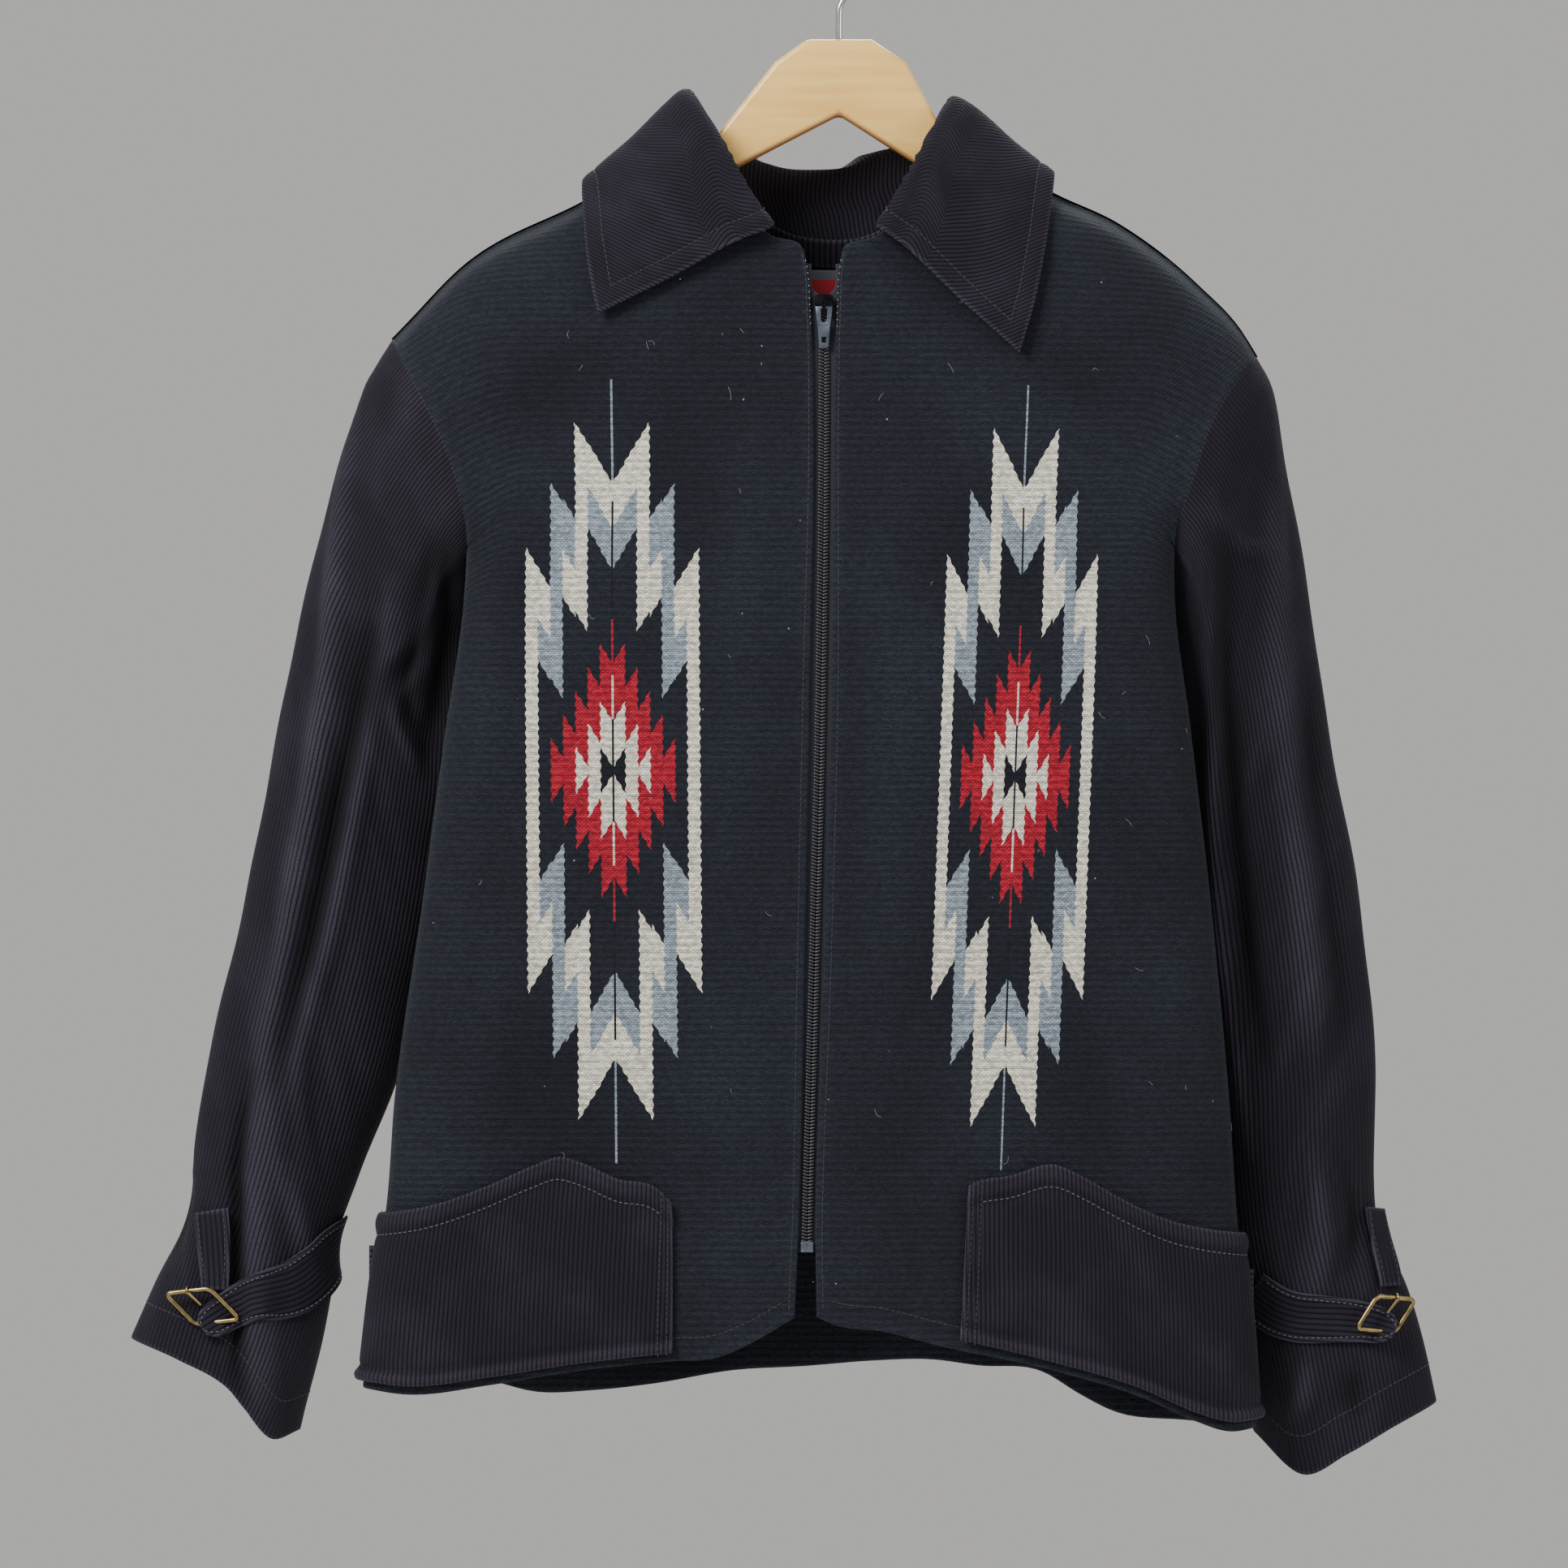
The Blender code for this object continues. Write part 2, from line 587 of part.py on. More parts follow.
def sleeve_section(side, number, angle):
    """A point of one sleeve section, as (out, y, down). The first ones still follow the armhole."""
    at_armhole = np.array(armhole_point(side, angle)) + np.array(OFF_ARMHOLE)
    if number == 0:
        return at_armhole
    outer_out, outer_down, inner_out, inner_down, middle, half = side["sleeve"][number]
    across = (1 - math.cos(math.radians(angle))) / 2
    turn = math.sin(math.radians(angle))
    out = outer_out + across * (inner_out - outer_out)
    down = outer_down + across * (inner_down - outer_down)
    last = len(side["sleeve"]) - 1
    near_cuff = max(0.0, 1 - (last - number) / 2)
    if turn > 0:
        down += near_cuff * float(read(side["cuff_drop"], across))
    else:
        down += near_cuff * CUFF_BACK_LIFT * turn
    if number >= len(ARMHOLE_SHARES):
        return np.array([out, middle - half * turn, down])
    still = ARMHOLE_SHARES[number]
    first = side["sleeve"][0]
    bow_out = at_armhole[0] - (first[0] + across * (first[2] - first[0]))
    bow_down = at_armhole[2] - (first[1] + across * (first[3] - first[1]))
    y = still * at_armhole[1] + (1 - still) * (middle - half * turn)
    return np.array([out + still * bow_out, y, down + still * bow_down])


def sleeve_point(side, number, angle):
    """A point at any place along the sleeve, smooth through its sections."""
    rows = [(k, *sleeve_section(side, k, angle)) for k in range(len(side["sleeve"]))]
    return np.array([float(read(rows, number, column)) for column in (1, 2, 3)])


def make_sleeve(side):
    count = 2 * ARM_STEPS
    angles = [360 * k / count for k in range(count)]
    numbers = [0, 1, 1.5, *range(2, len(side["sleeve"]))]
    grid = np.array([[sleeve_point(side, n, a) for a in angles] for n in numbers])
    grid = in_place(grid, side["sign"])
    if side["sign"] > 0:
        grid = grid[:, ::-1]
    centre = grid[5].mean(axis=0)
    if grid_normals(grid, True)[5, 0] @ (grid[5, 0] - centre) < 0:
        grid = grid[:, ::-1]
    cloth(side["name"] + "_sleeve", grid, CORDUROY, "corduroy", tube=True)


def sleeve_band(side, rows, across, lift):
    """A grid for a band that lies on the sleeve, lifted off it."""
    centres = np.array([sleeve_point(side, number, angle) for angle, number, half in rows])
    near = np.array([sleeve_point(side, number, angle + 4) for angle, number, half in rows])
    beyond = np.array([sleeve_point(side, number + 0.1, angle) for angle, number, half in rows])
    normals = np.cross(near - centres, beyond - centres)
    normals /= np.linalg.norm(normals, axis=1, keepdims=True)
    if normals[len(rows) // 2][1] > 0:
        normals = -normals
    ahead = np.gradient(centres, axis=0)
    sideways = np.cross(normals, ahead)
    sideways /= np.linalg.norm(sideways, axis=1, keepdims=True)
    halves = np.array([row[2] for row in rows])[:, None]
    lines = [centres + normals * lift + sideways * halves * share for share in across]
    return in_place(np.array(lines).transpose(1, 0, 2), side["sign"])


def make_cuff_pieces(side):
    for piece, rows, across in (
        ("cuff_strap", "strap", (-1, -0.4, 0.4, 1)), ("buckle_tab", "tab", (-1, 0, 1)),
    ):
        band = facing_out(sleeve_band(side, side[rows], across, BAND_LIFT + CORDUROY), (0, -1, 0))
        cloth(side["name"] + "_" + piece, band, CORDUROY, "corduroy")
    x, down, y, turn, about = side["buckle"]
    route = []
    half_w, half_h = BUCKLE_WIDTH / 2, BUCKLE_HEIGHT / 2
    for corner, (sx, sz) in enumerate(((1, 1), (-1, 1), (-1, -1), (1, -1))):
        for k in range(4):
            a = math.radians(90 * corner + 30 * k)
            lean = BUCKLE_LEAN / 2 * sz * side["sign"]
            route.append((
                sx * (half_w - BUCKLE_CORNER) + BUCKLE_CORNER * math.cos(a) + lean,
                0.0,
                sz * (half_h - BUCKLE_CORNER) + BUCKLE_CORNER * math.sin(a),
            ))
    turned = turned_points(route, turn, about)
    normal = turned_points([(0.0, 1.0, 0.0)], turn, about)[0]
    place = np.array([x, y, -down])
    flat_wire(side["name"] + "_cuff_buckle", turned + place, normal, WIRE / 2, 8, "brass", loop=True)


def turned_points(points, turn, about):
    """Points turned by one angle in the picture plane, then by another about the upright axis."""
    a, b = math.radians(turn), math.radians(about)
    in_plane = np.array([[math.cos(a), 0, math.sin(a)], [0, 1, 0], [-math.sin(a), 0, math.cos(a)]])
    upright = np.array([[math.cos(b), -math.sin(b), 0], [math.sin(b), math.cos(b), 0], [0, 0, 1]])
    return np.array(points, float) @ in_plane.T @ upright.T


# ---------------------------------------------------------------- collar, facing, label, pockets, side tabs


def collar_profile(station):
    """Seam, stand, roll, fall and edge of the collar at one station, each (x, y, z)."""
    seam_x, seam_down, roll_x, roll_down, roll_y, edge_x, edge_down, face = station
    seam_y = body_y(seam_x, seam_down, face) if face else 0.0
    edge_y = body_y(edge_x, edge_down, face) + face * COLLAR_LIFT if face else 0.0
    seam = np.array([seam_x, seam_y, -seam_down])
    roll = np.array([roll_x, roll_y, -roll_down])
    edge = np.array([edge_x, edge_y, -edge_down])
    stand = between(seam, roll, 0.55)
    over = between(roll, edge, 0.2)
    fall = between(roll, edge, 0.55)
    if face:
        rests = body_y(fall[0], -fall[2], face) + face * COLLAR_LIFT
        fall[1] = min(fall[1], rests) if face < 0 else max(fall[1], rests)
        over[1] = (roll_y + fall[1]) / 2
    over[2] += ROLL_PUFF
    return [seam, stand, roll, over, fall, (fall + edge) / 2, edge]


def between(start, end, share):
    return (1 - share) * start + share * end


def make_collar():
    profiles = np.array([collar_profile(s) for s in COLLAR_STATIONS])
    keys = np.arange(len(profiles))
    at = np.linspace(0, len(profiles) - 1, COLLAR_LENGTHWISE + 1)
    grid = np.zeros((len(at), profiles.shape[1], 3))
    for row in range(profiles.shape[1]):
        for axis in range(3):
            grid[:, row, axis] = read(np.stack([keys, profiles[:, row, axis]], axis=1), at)
    outward = grid_normals(grid, False)[len(at) // 2, -2]
    if outward[1] < 0:
        grid = grid[:, ::-1]
    # The wall grows outwards from the face that lies towards the body.
    cloth("collar", (grid + grid_normals(grid, False) * TWO_CORDUROYS), TWO_CORDUROYS, "corduroy")


def inside_back(name, across, downs_of, depth, thickness, finish):
    """A flat piece on the inner face of the back. downs_of gives its upper and lower line at an x."""
    rows = []
    for share in (0.0, 0.5, 1.0):
        row = []
        for x in across:
            top, bottom = downs_of(x)
            down = top + share * (bottom - top)
            row.append((x, body_y(x, down, 1) - depth, -down))
        rows.append(row)
    grid = facing_out(np.array(rows, float), (0, -1, 0))
    cloth(name, grid, thickness, finish)


def make_neck_pieces():
    def facing_lines(x):
        top = float(read(BACK_NECKLINE, x)) + 1.0
        return top, top + FACING_HEIGHT

    across = np.linspace(*FACING_SPAN, 9)
    inside_back("neck_facing", across, facing_lines, WOOL + CLEARANCE + CORDUROY, CORDUROY, "corduroy")
    width, height = LABEL_SIZE
    top = facing_lines(LABEL_X)[1] + LABEL_LIFT
    across = np.linspace(LABEL_X - width / 2, LABEL_X + width / 2, 5)
    depth = WOOL + LABEL_LIFT + LABEL_THICKNESS
    inside_back("label", across, lambda x: (top, top + height), depth, LABEL_THICKNESS, "label")


def make_pocket(side):
    """The patch pocket lies on the front and turns with it round the side."""
    inner_top, inner_bottom = side["pocket_inner"]
    # Below 0 a column's number is its share of the front's turn round the side.
    columns = (-0.4, -0.2, 0, 0.012, 0.04, 0.09, 0.17, 0.3, 0.5, 0.75, 1)
    rows = []
    for up in np.linspace(0, 1, 5):
        row = []
        for c in columns:
            across = max(c, 0.0)
            inner = inner_bottom + up * (inner_top - inner_bottom)
            low_out = side["pocket_bottom"][-1][0] * (1 - across) + inner_bottom * across
            high_out = side["pocket_top"][-1][0] * (1 - across) + inner_top * across
            low = float(read(side["pocket_bottom"], low_out))
            down = low + up * (float(read(side["pocket_top"], high_out)) - low)
            out = float(read(side["edge"], down)) * (1 - across) + inner * across
            if c < 0:
                out, y = side_wrap(side, -c, down)
                row.append((float(out), float(y), down))
            else:
                row.append((out, float(front_y(side, out, down)), down))
        rows.append(row)
    grid = facing_out(in_place(np.array(rows), side["sign"]), (0, -1, 0))
    lifted = grid + grid_normals(grid, False) * (POCKET_LIFT + CORDUROY)
    cloth(side["name"] + "_pocket", lifted, CORDUROY, "corduroy")


def make_side_tab(side):
    down = side["side_tab_down"]
    out = float(read(side["edge"], down))
    x = sorted((side["sign"] * (out - SIDE_TAB_ROOT), side["sign"] * (out + SIDE_TAB_REACH)))
    low = (x[0], SIDE_TAB_Y, down - SIDE_TAB_HEIGHT / 2)
    high = (x[1], SIDE_TAB_Y + TWO_CORDUROYS, down + SIDE_TAB_HEIGHT / 2)
    box(side["name"] + "_side_tab", low, high, "corduroy")


# ---------------------------------------------------------------- zip


def zip_place(down):
    """Middle of the zip and depth of the cloth's inner face there, as (x, y)."""
    x = (LEFT["sign"] * read(LEFT["front_edge"], down) + RIGHT["sign"] * read(RIGHT["front_edge"], down)) / 2
    return float(x), float(WOOL - read(BODY_DEPTHS, down))


def zip_strip(name, downs, reach, front, thickness, finish):
    """A strip down the zip. reach gives its two sides, from its middle, at a height."""
    rows = []
    for down in downs:
        x, y = zip_place(down)
        rows.append([(x + r, y + front, -down) for r in reach(down)])
    grid = facing_out(np.array(rows, float), (0, -1, 0))
    return cloth(name, grid, thickness, finish)


def make_zip():
    split = SLIDER_TOP + POST_LENGTH + 0.8

    def inner(down):
        return TAPES_APART if down > split else SLIDER_POST / 2 + 2 * SEAM_GAP

    downs = [ZIP_TOP, 209, split, split + 0.4, 245, 275, *np.linspace(305, BOX_BOTTOM, 9)]
    for side in SIDES:
        zip_strip(
            "zip_tape_" + side["name"], downs,
            lambda down, s=side["sign"]: (s * inner(down), s * TAPE_WIDTH),
            TAPE_LIFT, TAPE, "tape",
        )
    half = COIL_WIDTH / 2
    coil_downs = [SLIDER_TOP + SLIDER_LENGTH + 0.4, 245, 275, *np.linspace(305, COIL_BOTTOM, 9)]
    coil_front = TAPE_LIFT - SEAM_GAP - COIL_HEIGHT
    zip_strip("zip_coil", coil_downs, lambda down: (-half, half), coil_front, COIL_HEIGHT, "coil")

    x, y = zip_place(COIL_BOTTOM)
    low = (x - BOX_WIDTH / 2, y + TAPE_LIFT - SEAM_GAP - BOX_DEPTH, COIL_BOTTOM + SEAM_GAP)
    high = (x + BOX_WIDTH / 2, y + TAPE_LIFT - 2 * SEAM_GAP, BOX_BOTTOM)
    box("zip_box", low, high, "grey_metal")

    x, y = zip_place(SLIDER_TOP + SLIDER_LENGTH)
    tape_front = y + TAPE_LIFT
    plate_back = tape_front - SEAM_GAP - COIL_HEIGHT - SEAM_GAP
    plate_front = plate_back - PLATE
    make_slider(x, plate_front, plate_back, tape_front + TAPE + REAR_GAP)
    make_pull(x, plate_front - PULL_STAND_OFF)


def plate_outline(x, half_top, half_bottom, top, bottom, corner):
    """An outline with cut corners, wider at one end."""
    return (
        (x - half_top + corner, top), (x + half_top - corner, top), (x + half_top, top + corner),
        (x + half_bottom, bottom - corner), (x + half_bottom - corner, bottom),
        (x - half_bottom + corner, bottom), (x - half_bottom, bottom - corner), (x - half_top, top + corner),
    )


def make_slider(x, plate_front, plate_back, rear):
    """Front plate, back plate and the post between them, with the bridge that holds the pull."""
    top, bottom = SLIDER_TOP, SLIDER_TOP + SLIDER_LENGTH
    half = SLIDER_WIDTH / 2
    outline = plate_outline(x, half, half * SLIDER_TAPER, top, bottom, SLIDER_CORNER)
    body = extruded("zip_slider", outline, plate_front, plate_back, "black_metal")
    rear_plate = extruded("rear_plate", outline, rear, rear + PLATE, "black_metal")
    post_low = (x - SLIDER_POST / 2, plate_back - PLATE / 2, top + 0.6)
    post_high = (x + SLIDER_POST / 2, rear + PLATE / 2, top + POST_LENGTH)
    boolean(body, rear_plate, "UNION")
    boolean(body, box("slider_post", post_low, post_high, "black_metal"), "UNION")
    foot = plate_front + PLATE / 2
    crest = plate_front - BRIDGE_HEIGHT
    bridge_low = (x - BRIDGE_WIDTH / 2, crest, top + 1.2)
    bridge_high = (x + BRIDGE_WIDTH / 2, foot, PULL_DOWN + EYE_BELOW + BRIDGE_WALL)
    boolean(body, box("slider_bridge", bridge_low, bridge_high, "black_metal"), "UNION")
    hole_low = (x - BRIDGE_WIDTH, crest + BRIDGE_WALL, top + 1.2 + BRIDGE_WALL)
    hole_high = (x + BRIDGE_WIDTH, plate_front - 0.02, PULL_DOWN + EYE_BELOW)
    boolean(body, box("bridge_hole", hole_low, hole_high, "black_metal"), "DIFFERENCE")


def make_pull(x, axis_y):
    """The pull: a tapered plate with a slot for the bridge, whose top bar passes under it."""
    half = PULL_THICKNESS / 2
    outline = [*PULL_HALF, *((-x_of, down) for x_of, down in reversed(PULL_HALF))]
    pull = extruded("zip_pull", outline, -half, half, "grey_metal")
    turns = np.linspace(0, math.pi, 7)
    slot = [(-SLOT_HALF, SLOT_TOP), (SLOT_HALF, SLOT_TOP)]
    slot += [(SLOT_HALF * math.cos(a), SLOT_END + SLOT_HALF * math.sin(a)) for a in turns]
    eye = [(sx * EYE_HALF, down) for sx, down in ((-1, EYE_TOP), (1, EYE_TOP), (1, EYE_END), (-1, EYE_END))]
    for name, cut in (("pull_slot", slot), ("pull_eye", eye)):
        cutter = extruded(name, cut, -2, 2, "grey_metal")
        cutter.parent = pull
        boolean(pull, cutter, "DIFFERENCE")
    pull.location = Vector((x, axis_y, -PULL_DOWN)) * MM


# ---------------------------------------------------------------- hanger


def make_hanger():
    half = HANGER_THICKNESS / 2
    hanger = extruded("hanger", (*HANGER_TOP, *HANGER_BOTTOM), -half, half, "wood")
    edges = hanger.modifiers.new("Rounded edges", "BEVEL")
    edges.width = HANGER_ROUNDING * MM
    edges.segments = 1
    edges.limit_method = "ANGLE"
    edges.angle_limit = math.radians(60)

    radius = HOOK_RADIUS + HOOK_WIRE / 2
    turns = np.radians(np.linspace(*HOOK_TURNS, 18))
    route = [(radius * math.cos(a), 0.0, radius * math.sin(a) - HOOK_RADIUS) for a in turns]
    route += [(x, 0.0, -down) for x, down in HOOK_NECK]
    flat_wire("hanger_hook", route, (0, 1, 0), HOOK_WIRE / 2, 8, "hook_steel", loop=False)


for old in list(bpy.data.objects):
    bpy.data.objects.remove(old, do_unlink=True)

for body_side in SIDES:
    make_front(body_side)
    make_sleeve(body_side)
    make_pocket(body_side)
    make_side_tab(body_side)
    make_cuff_pieces(body_side)
make_back()
make_collar()
make_neck_pieces()
make_zip()
make_hanger()
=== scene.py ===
"""A waist-length zip jacket of hand-woven wool with corduroy sleeves, collar and pockets, on a wooden hanger.

It hangs from the hanger's hook, whose inner top is the origin. Tables are in millimetres: "down" is the
distance below the origin, "out" the distance sideways from the middle, and "x" the sideways place, with the
wearer's left positive. Right and left are the wearer's.
"""

import math

import bpy
import numpy as np
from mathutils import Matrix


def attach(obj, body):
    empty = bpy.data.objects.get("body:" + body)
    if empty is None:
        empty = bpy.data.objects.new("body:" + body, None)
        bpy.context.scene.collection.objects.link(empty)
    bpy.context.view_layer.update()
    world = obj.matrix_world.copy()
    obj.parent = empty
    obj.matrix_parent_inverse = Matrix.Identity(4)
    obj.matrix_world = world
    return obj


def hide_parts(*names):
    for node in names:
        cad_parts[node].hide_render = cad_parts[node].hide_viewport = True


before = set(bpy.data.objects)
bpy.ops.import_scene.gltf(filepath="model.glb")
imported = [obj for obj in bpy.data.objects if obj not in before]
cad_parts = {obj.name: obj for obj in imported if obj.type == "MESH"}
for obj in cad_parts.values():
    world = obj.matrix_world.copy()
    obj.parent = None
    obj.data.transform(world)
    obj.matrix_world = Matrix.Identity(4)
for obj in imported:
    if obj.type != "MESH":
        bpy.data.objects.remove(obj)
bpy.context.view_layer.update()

# ---------------------------------------------------------------- room, light and camera
# The jacket hangs clear of a pale studio floor. Two large soft lamps stand in front and one hangs above,
# and the camera looks at the front from a few metres away, level with the jacket's middle.

FLOOR_HEIGHT = -1.35
FLOOR_RADIUS = 1.3
CAMERA_PLACE = (-0.0306, -6.0, -0.48465)
VIEW_WIDTH = 0.8694
VIEW_PLANE = -0.02
ROOM_COLOUR = (0.80, 0.79, 0.77)
ROOM_STRENGTH = 0.62
# place, aim, width, watts
LAMPS = (
    ((-1.7, -1.9, 1.3), (0.0, 0.0, -0.45), 1.3, 118.0),
    ((2.2, -1.4, 0.3), (0.0, 0.0, -0.5), 1.3, 26.0),
    ((0.2, 1.7, 1.5), (0.0, 0.0, -0.3), 1.4, 60.0),
)


def aimed(obj, place, aim):
    """Puts a lamp at a place, turned towards another."""
    obj.location = place
    away = np.array(place) - np.array(aim)
    flat = math.hypot(away[0], away[1])
    obj.rotation_euler = (math.atan2(flat, away[2]), 0.0, math.atan2(away[0], -away[1]))


floor_mesh = bpy.data.meshes.new("floor")
rim = [2 * math.pi * k / 96 for k in range(96)]
floor_mesh.from_pydata(
    [(FLOOR_RADIUS * math.cos(a), FLOOR_RADIUS * math.sin(a), FLOOR_HEIGHT) for a in rim],
    [], [tuple(range(96))],
)
floor = bpy.data.objects.new("floor", floor_mesh)
bpy.context.scene.collection.objects.link(floor)
floor_paint = bpy.data.materials.new("pale_floor")
floor_paint.use_nodes = True
floor_paint.node_tree.nodes["Principled BSDF"].inputs["Base Color"].default_value = (0.7, 0.69, 0.67, 1)
floor_paint.node_tree.nodes["Principled BSDF"].inputs["Roughness"].default_value = 0.8
floor_mesh.materials.append(floor_paint)

for number, (place, aim, width, watts) in enumerate(LAMPS):
    lamp = bpy.data.lights.new(f"soft_lamp_{number}", "AREA")
    lamp.size = width
    lamp.energy = watts
    lamp_object = bpy.data.objects.new(lamp.name, lamp)
    bpy.context.scene.collection.objects.link(lamp_object)
    aimed(lamp_object, place, aim)

room = bpy.data.worlds.new("pale_room")
room.use_nodes = True
room.node_tree.nodes["Background"].inputs["Color"].default_value = (*ROOM_COLOUR, 1)
room.node_tree.nodes["Background"].inputs["Strength"].default_value = ROOM_STRENGTH
bpy.context.scene.world = room

camera_data = bpy.data.cameras.new("camera")
camera_data.sensor_width = 36.0
camera_data.lens = 36.0 * (VIEW_PLANE - CAMERA_PLACE[1]) / VIEW_WIDTH
camera = bpy.data.objects.new("camera", camera_data)
camera.location = CAMERA_PLACE
camera.rotation_euler = (math.pi / 2, 0, 0)
bpy.context.scene.collection.objects.link(camera)
bpy.context.scene.camera = camera

# ---------------------------------------------------------------- the woven body: two fronts and a back
# Weft-faced wool, woven by hand with a rib every four millimetres, and with a stepped figure in cream, grey
# and red on each front. The three panels join at the shoulders and side seams; the zip closes the fronts.

MM = 0.001
WOOL = 2.5
SEAM_GAP = 0.3
SEAM_LAP = 0.4
SEAM_EASE = 5.0
SIDE_FADE = 26.0
SHOULDER_FADE = 30.0
SHOULDER_ROLL = 90.0
SIDE_SEAM_TUCK = 18.0
FRONT_TURN = 32.0
BACK_TURN = 46.0
TURN_SHARE = 0.4
SEAM_LEAD = 6.0
SEAM_LEAD_Y = -9.0
UNDERARM = 420.0
WRAP_STARTS = 355.0
TURN_STARTS = 320.0
TURN_LENGTH = 60.0

# down, depth of the front, depth of the back
BODY_DEPTHS = (
    (120, 36, 32), (180, 38, 34), (230, 42, 38), (280, 46, 41), (340, 54, 44),
    (420, 58, 45), (550, 55, 43), (700, 50, 38), (840, 45, 32),
)
# edge: down, out. shoulder and neckline: out, down. front_edge: down, out. hem: out, down.
RIGHT = {
    "name": "right",
    "sign": -1.0,
    "edge": (
        (237, 249), (263, 235), (304, 215.6), (344, 206.6), (385, 208), (455, 218), (559, 232),
        (656, 246), (720, 251), (760, 257), (819, 264),
    ),
    "shoulder": ((0, 77), (80, 124), (140, 159), (213, 199.5), (240, 227.7), (249, 237)),
    "neckline": ((80, 124), (63, 150), (41, 179), (24, 184.5), (19.5, 190)),
    "front_edge": (
        (190, 19.5), (205, 16.6), (221, 15.8), (455, 16.8), (590, 19.4), (738, 22.8), (779, 24.8),
    ),
    "hem": (
        (24.8, 779.4), (48.6, 793.4), (69, 802), (91, 803.5), (150, 809.6), (191, 816.3), (238, 822),
        (264, 819),
    ),
}
LEFT = {
    "name": "left",
    "sign": 1.0,
    "edge": (
        (247, 233), (261, 220), (282, 207), (313, 196), (344, 186.5), (375, 185.5), (455, 194.5),
        (559, 206.6), (656, 215.6), (720, 220), (780, 226.5), (841, 231),
    ),
    "shoulder": ((0, 80), (69, 124), (118, 155), (156, 173), (201, 208), (225.5, 234.5), (233, 247)),
    "neckline": ((69, 124), (49, 150), (24, 179), (5, 185.5), (1.5, 190)),
    "front_edge": (
        (190, 1.5), (205, -0.8), (221, -1.4), (455, -4.8), (590, -8.8), (738, -13.2), (779, -12.6),
    ),
    "hem": (
        (-12.6, 779), (-2.3, 783.5), (24, 787), (54.5, 794.7), (116.6, 808), (168, 823.5), (196, 836),
        (217, 842), (231, 840.5),
    ),
}
SIDES = (RIGHT, LEFT)
BACK_HEM = (
    (-246, 819), (-196, 818), (-170, 824), (-137, 823), (-103, 819), (-60, 811.5), (-18, 808.7), (19, 805.5),
    (52, 804.6), (78, 807.8), (114, 811), (135, 823.5), (153, 832.5), (196, 837), (213, 838),
)
BACK_NECKLINE = ((-80, 124), (-60, 154), (-33, 175), (-8, 181), (20, 177), (49, 154), (69, 124))

WOOL_STEP = 3.0
# Distances in from a cloth's edge where its rounded rim has a line of points
RIM = (0.0, 0.3, 0.8, 1.6)
# The slow waves of hanging cloth: turn per millimetre sideways and upwards, and where it starts
WAVES = ((0.041, 0.013, 0.4), (-0.028, 0.022, 2.1), (0.063, -0.017, 4.0), (0.019, 0.047, 1.2))
WAVE_HEIGHT = 0.45
# They start this far from the zip, and reach their height over this distance
WAVE_STARTS = 14
WAVE_FADE = 40


def smooth(keys, values, at):
    """Values at any keys, on a smooth curve through the given ones."""
    keys, values = np.array(keys, float), np.array(values, float)
    slopes = np.gradient(values, keys, axis=0)
    at = np.clip(at, keys[0], keys[-1])
    k = np.clip(np.searchsorted(keys, at) - 1, 0, len(keys) - 2)
    step = keys[k + 1] - keys[k]
    t = (at - keys[k]) / step
    wide = np.shape(t) + (1,) * (values.ndim - 1)
    t, step = np.reshape(t, wide), np.reshape(step, wide)
    start = values[k] * (2 * t**3 - 3 * t**2 + 1) + slopes[k] * step * (t**3 - 2 * t**2 + t)
    return start + values[k + 1] * (3 * t**2 - 2 * t**3) + slopes[k + 1] * step * (t**3 - t**2)


def read(rows, at, column=1):
    table = np.array(rows, float)
    return smooth(table[:, 0], table[:, column], at)


def rounded(t):
    """A quarter circle from 0 to 1."""
    return np.sqrt(1 - (1 - np.clip(t, 0, 1)) ** 2)


def eased(t):
    t = np.clip(t, 0, 1)
    return t * t * (3 - 2 * t)


def lengths(points, axis=0):
    """Length along lines of points, from their first ones."""
    steps = np.linalg.norm(np.diff(points, axis=axis), axis=-1)
    start = np.zeros_like(np.take(steps, [0], axis=axis))
    return np.concatenate([start, np.cumsum(steps, axis=axis)], axis=axis)


def along(points, shares):
    """Points at shares of the length of a line of points."""
    reach = lengths(points)
    return np.stack([np.interp(shares * reach[-1], reach, c) for c in np.transpose(points)], axis=-1)


def shares_of(length, step):
    """Shares of a length in millimetres, one every step and closer at both ends."""
    near = np.array(RIM) / length
    inner = np.linspace(near[-1], 1 - near[-1], max(3, round(length / step)))
    return np.concatenate([near[:-1], inner, 1 - near[:-1][::-1]])


def front_y(side, out, down):
    """Depth of the front's outer face at a place in the picture plane."""
    inward = np.maximum(read(side["edge"], down) - out, 0)
    turned = eased((down - TURN_STARTS) / TURN_LENGTH)
    edge = 1 - TURN_SHARE * turned * (1 - rounded(inward / FRONT_TURN))
    drop = down - read(side["shoulder"], out)
    return -read(BODY_DEPTHS, down) * rounded(drop / SHOULDER_ROLL) * edge


def back_edge(side, down):
    """How far out the back reaches: its armhole, then the side seam."""
    tip = side["edge"][0][0]
    return read(side["edge"], down) - SIDE_SEAM_TUCK * eased((down - tip) / (UNDERARM - tip))


def back_y(side, out, down):
    inward = np.maximum(back_edge(side, down) - out, 0)
    turned = eased((down - TURN_STARTS) / (UNDERARM - TURN_STARTS))
    edge = 1 - turned * (1 - rounded(inward / BACK_TURN))
    drop = down - read(side["shoulder"], out)
    return read(BODY_DEPTHS, down, 2) * rounded(drop / SHOULDER_ROLL) * edge


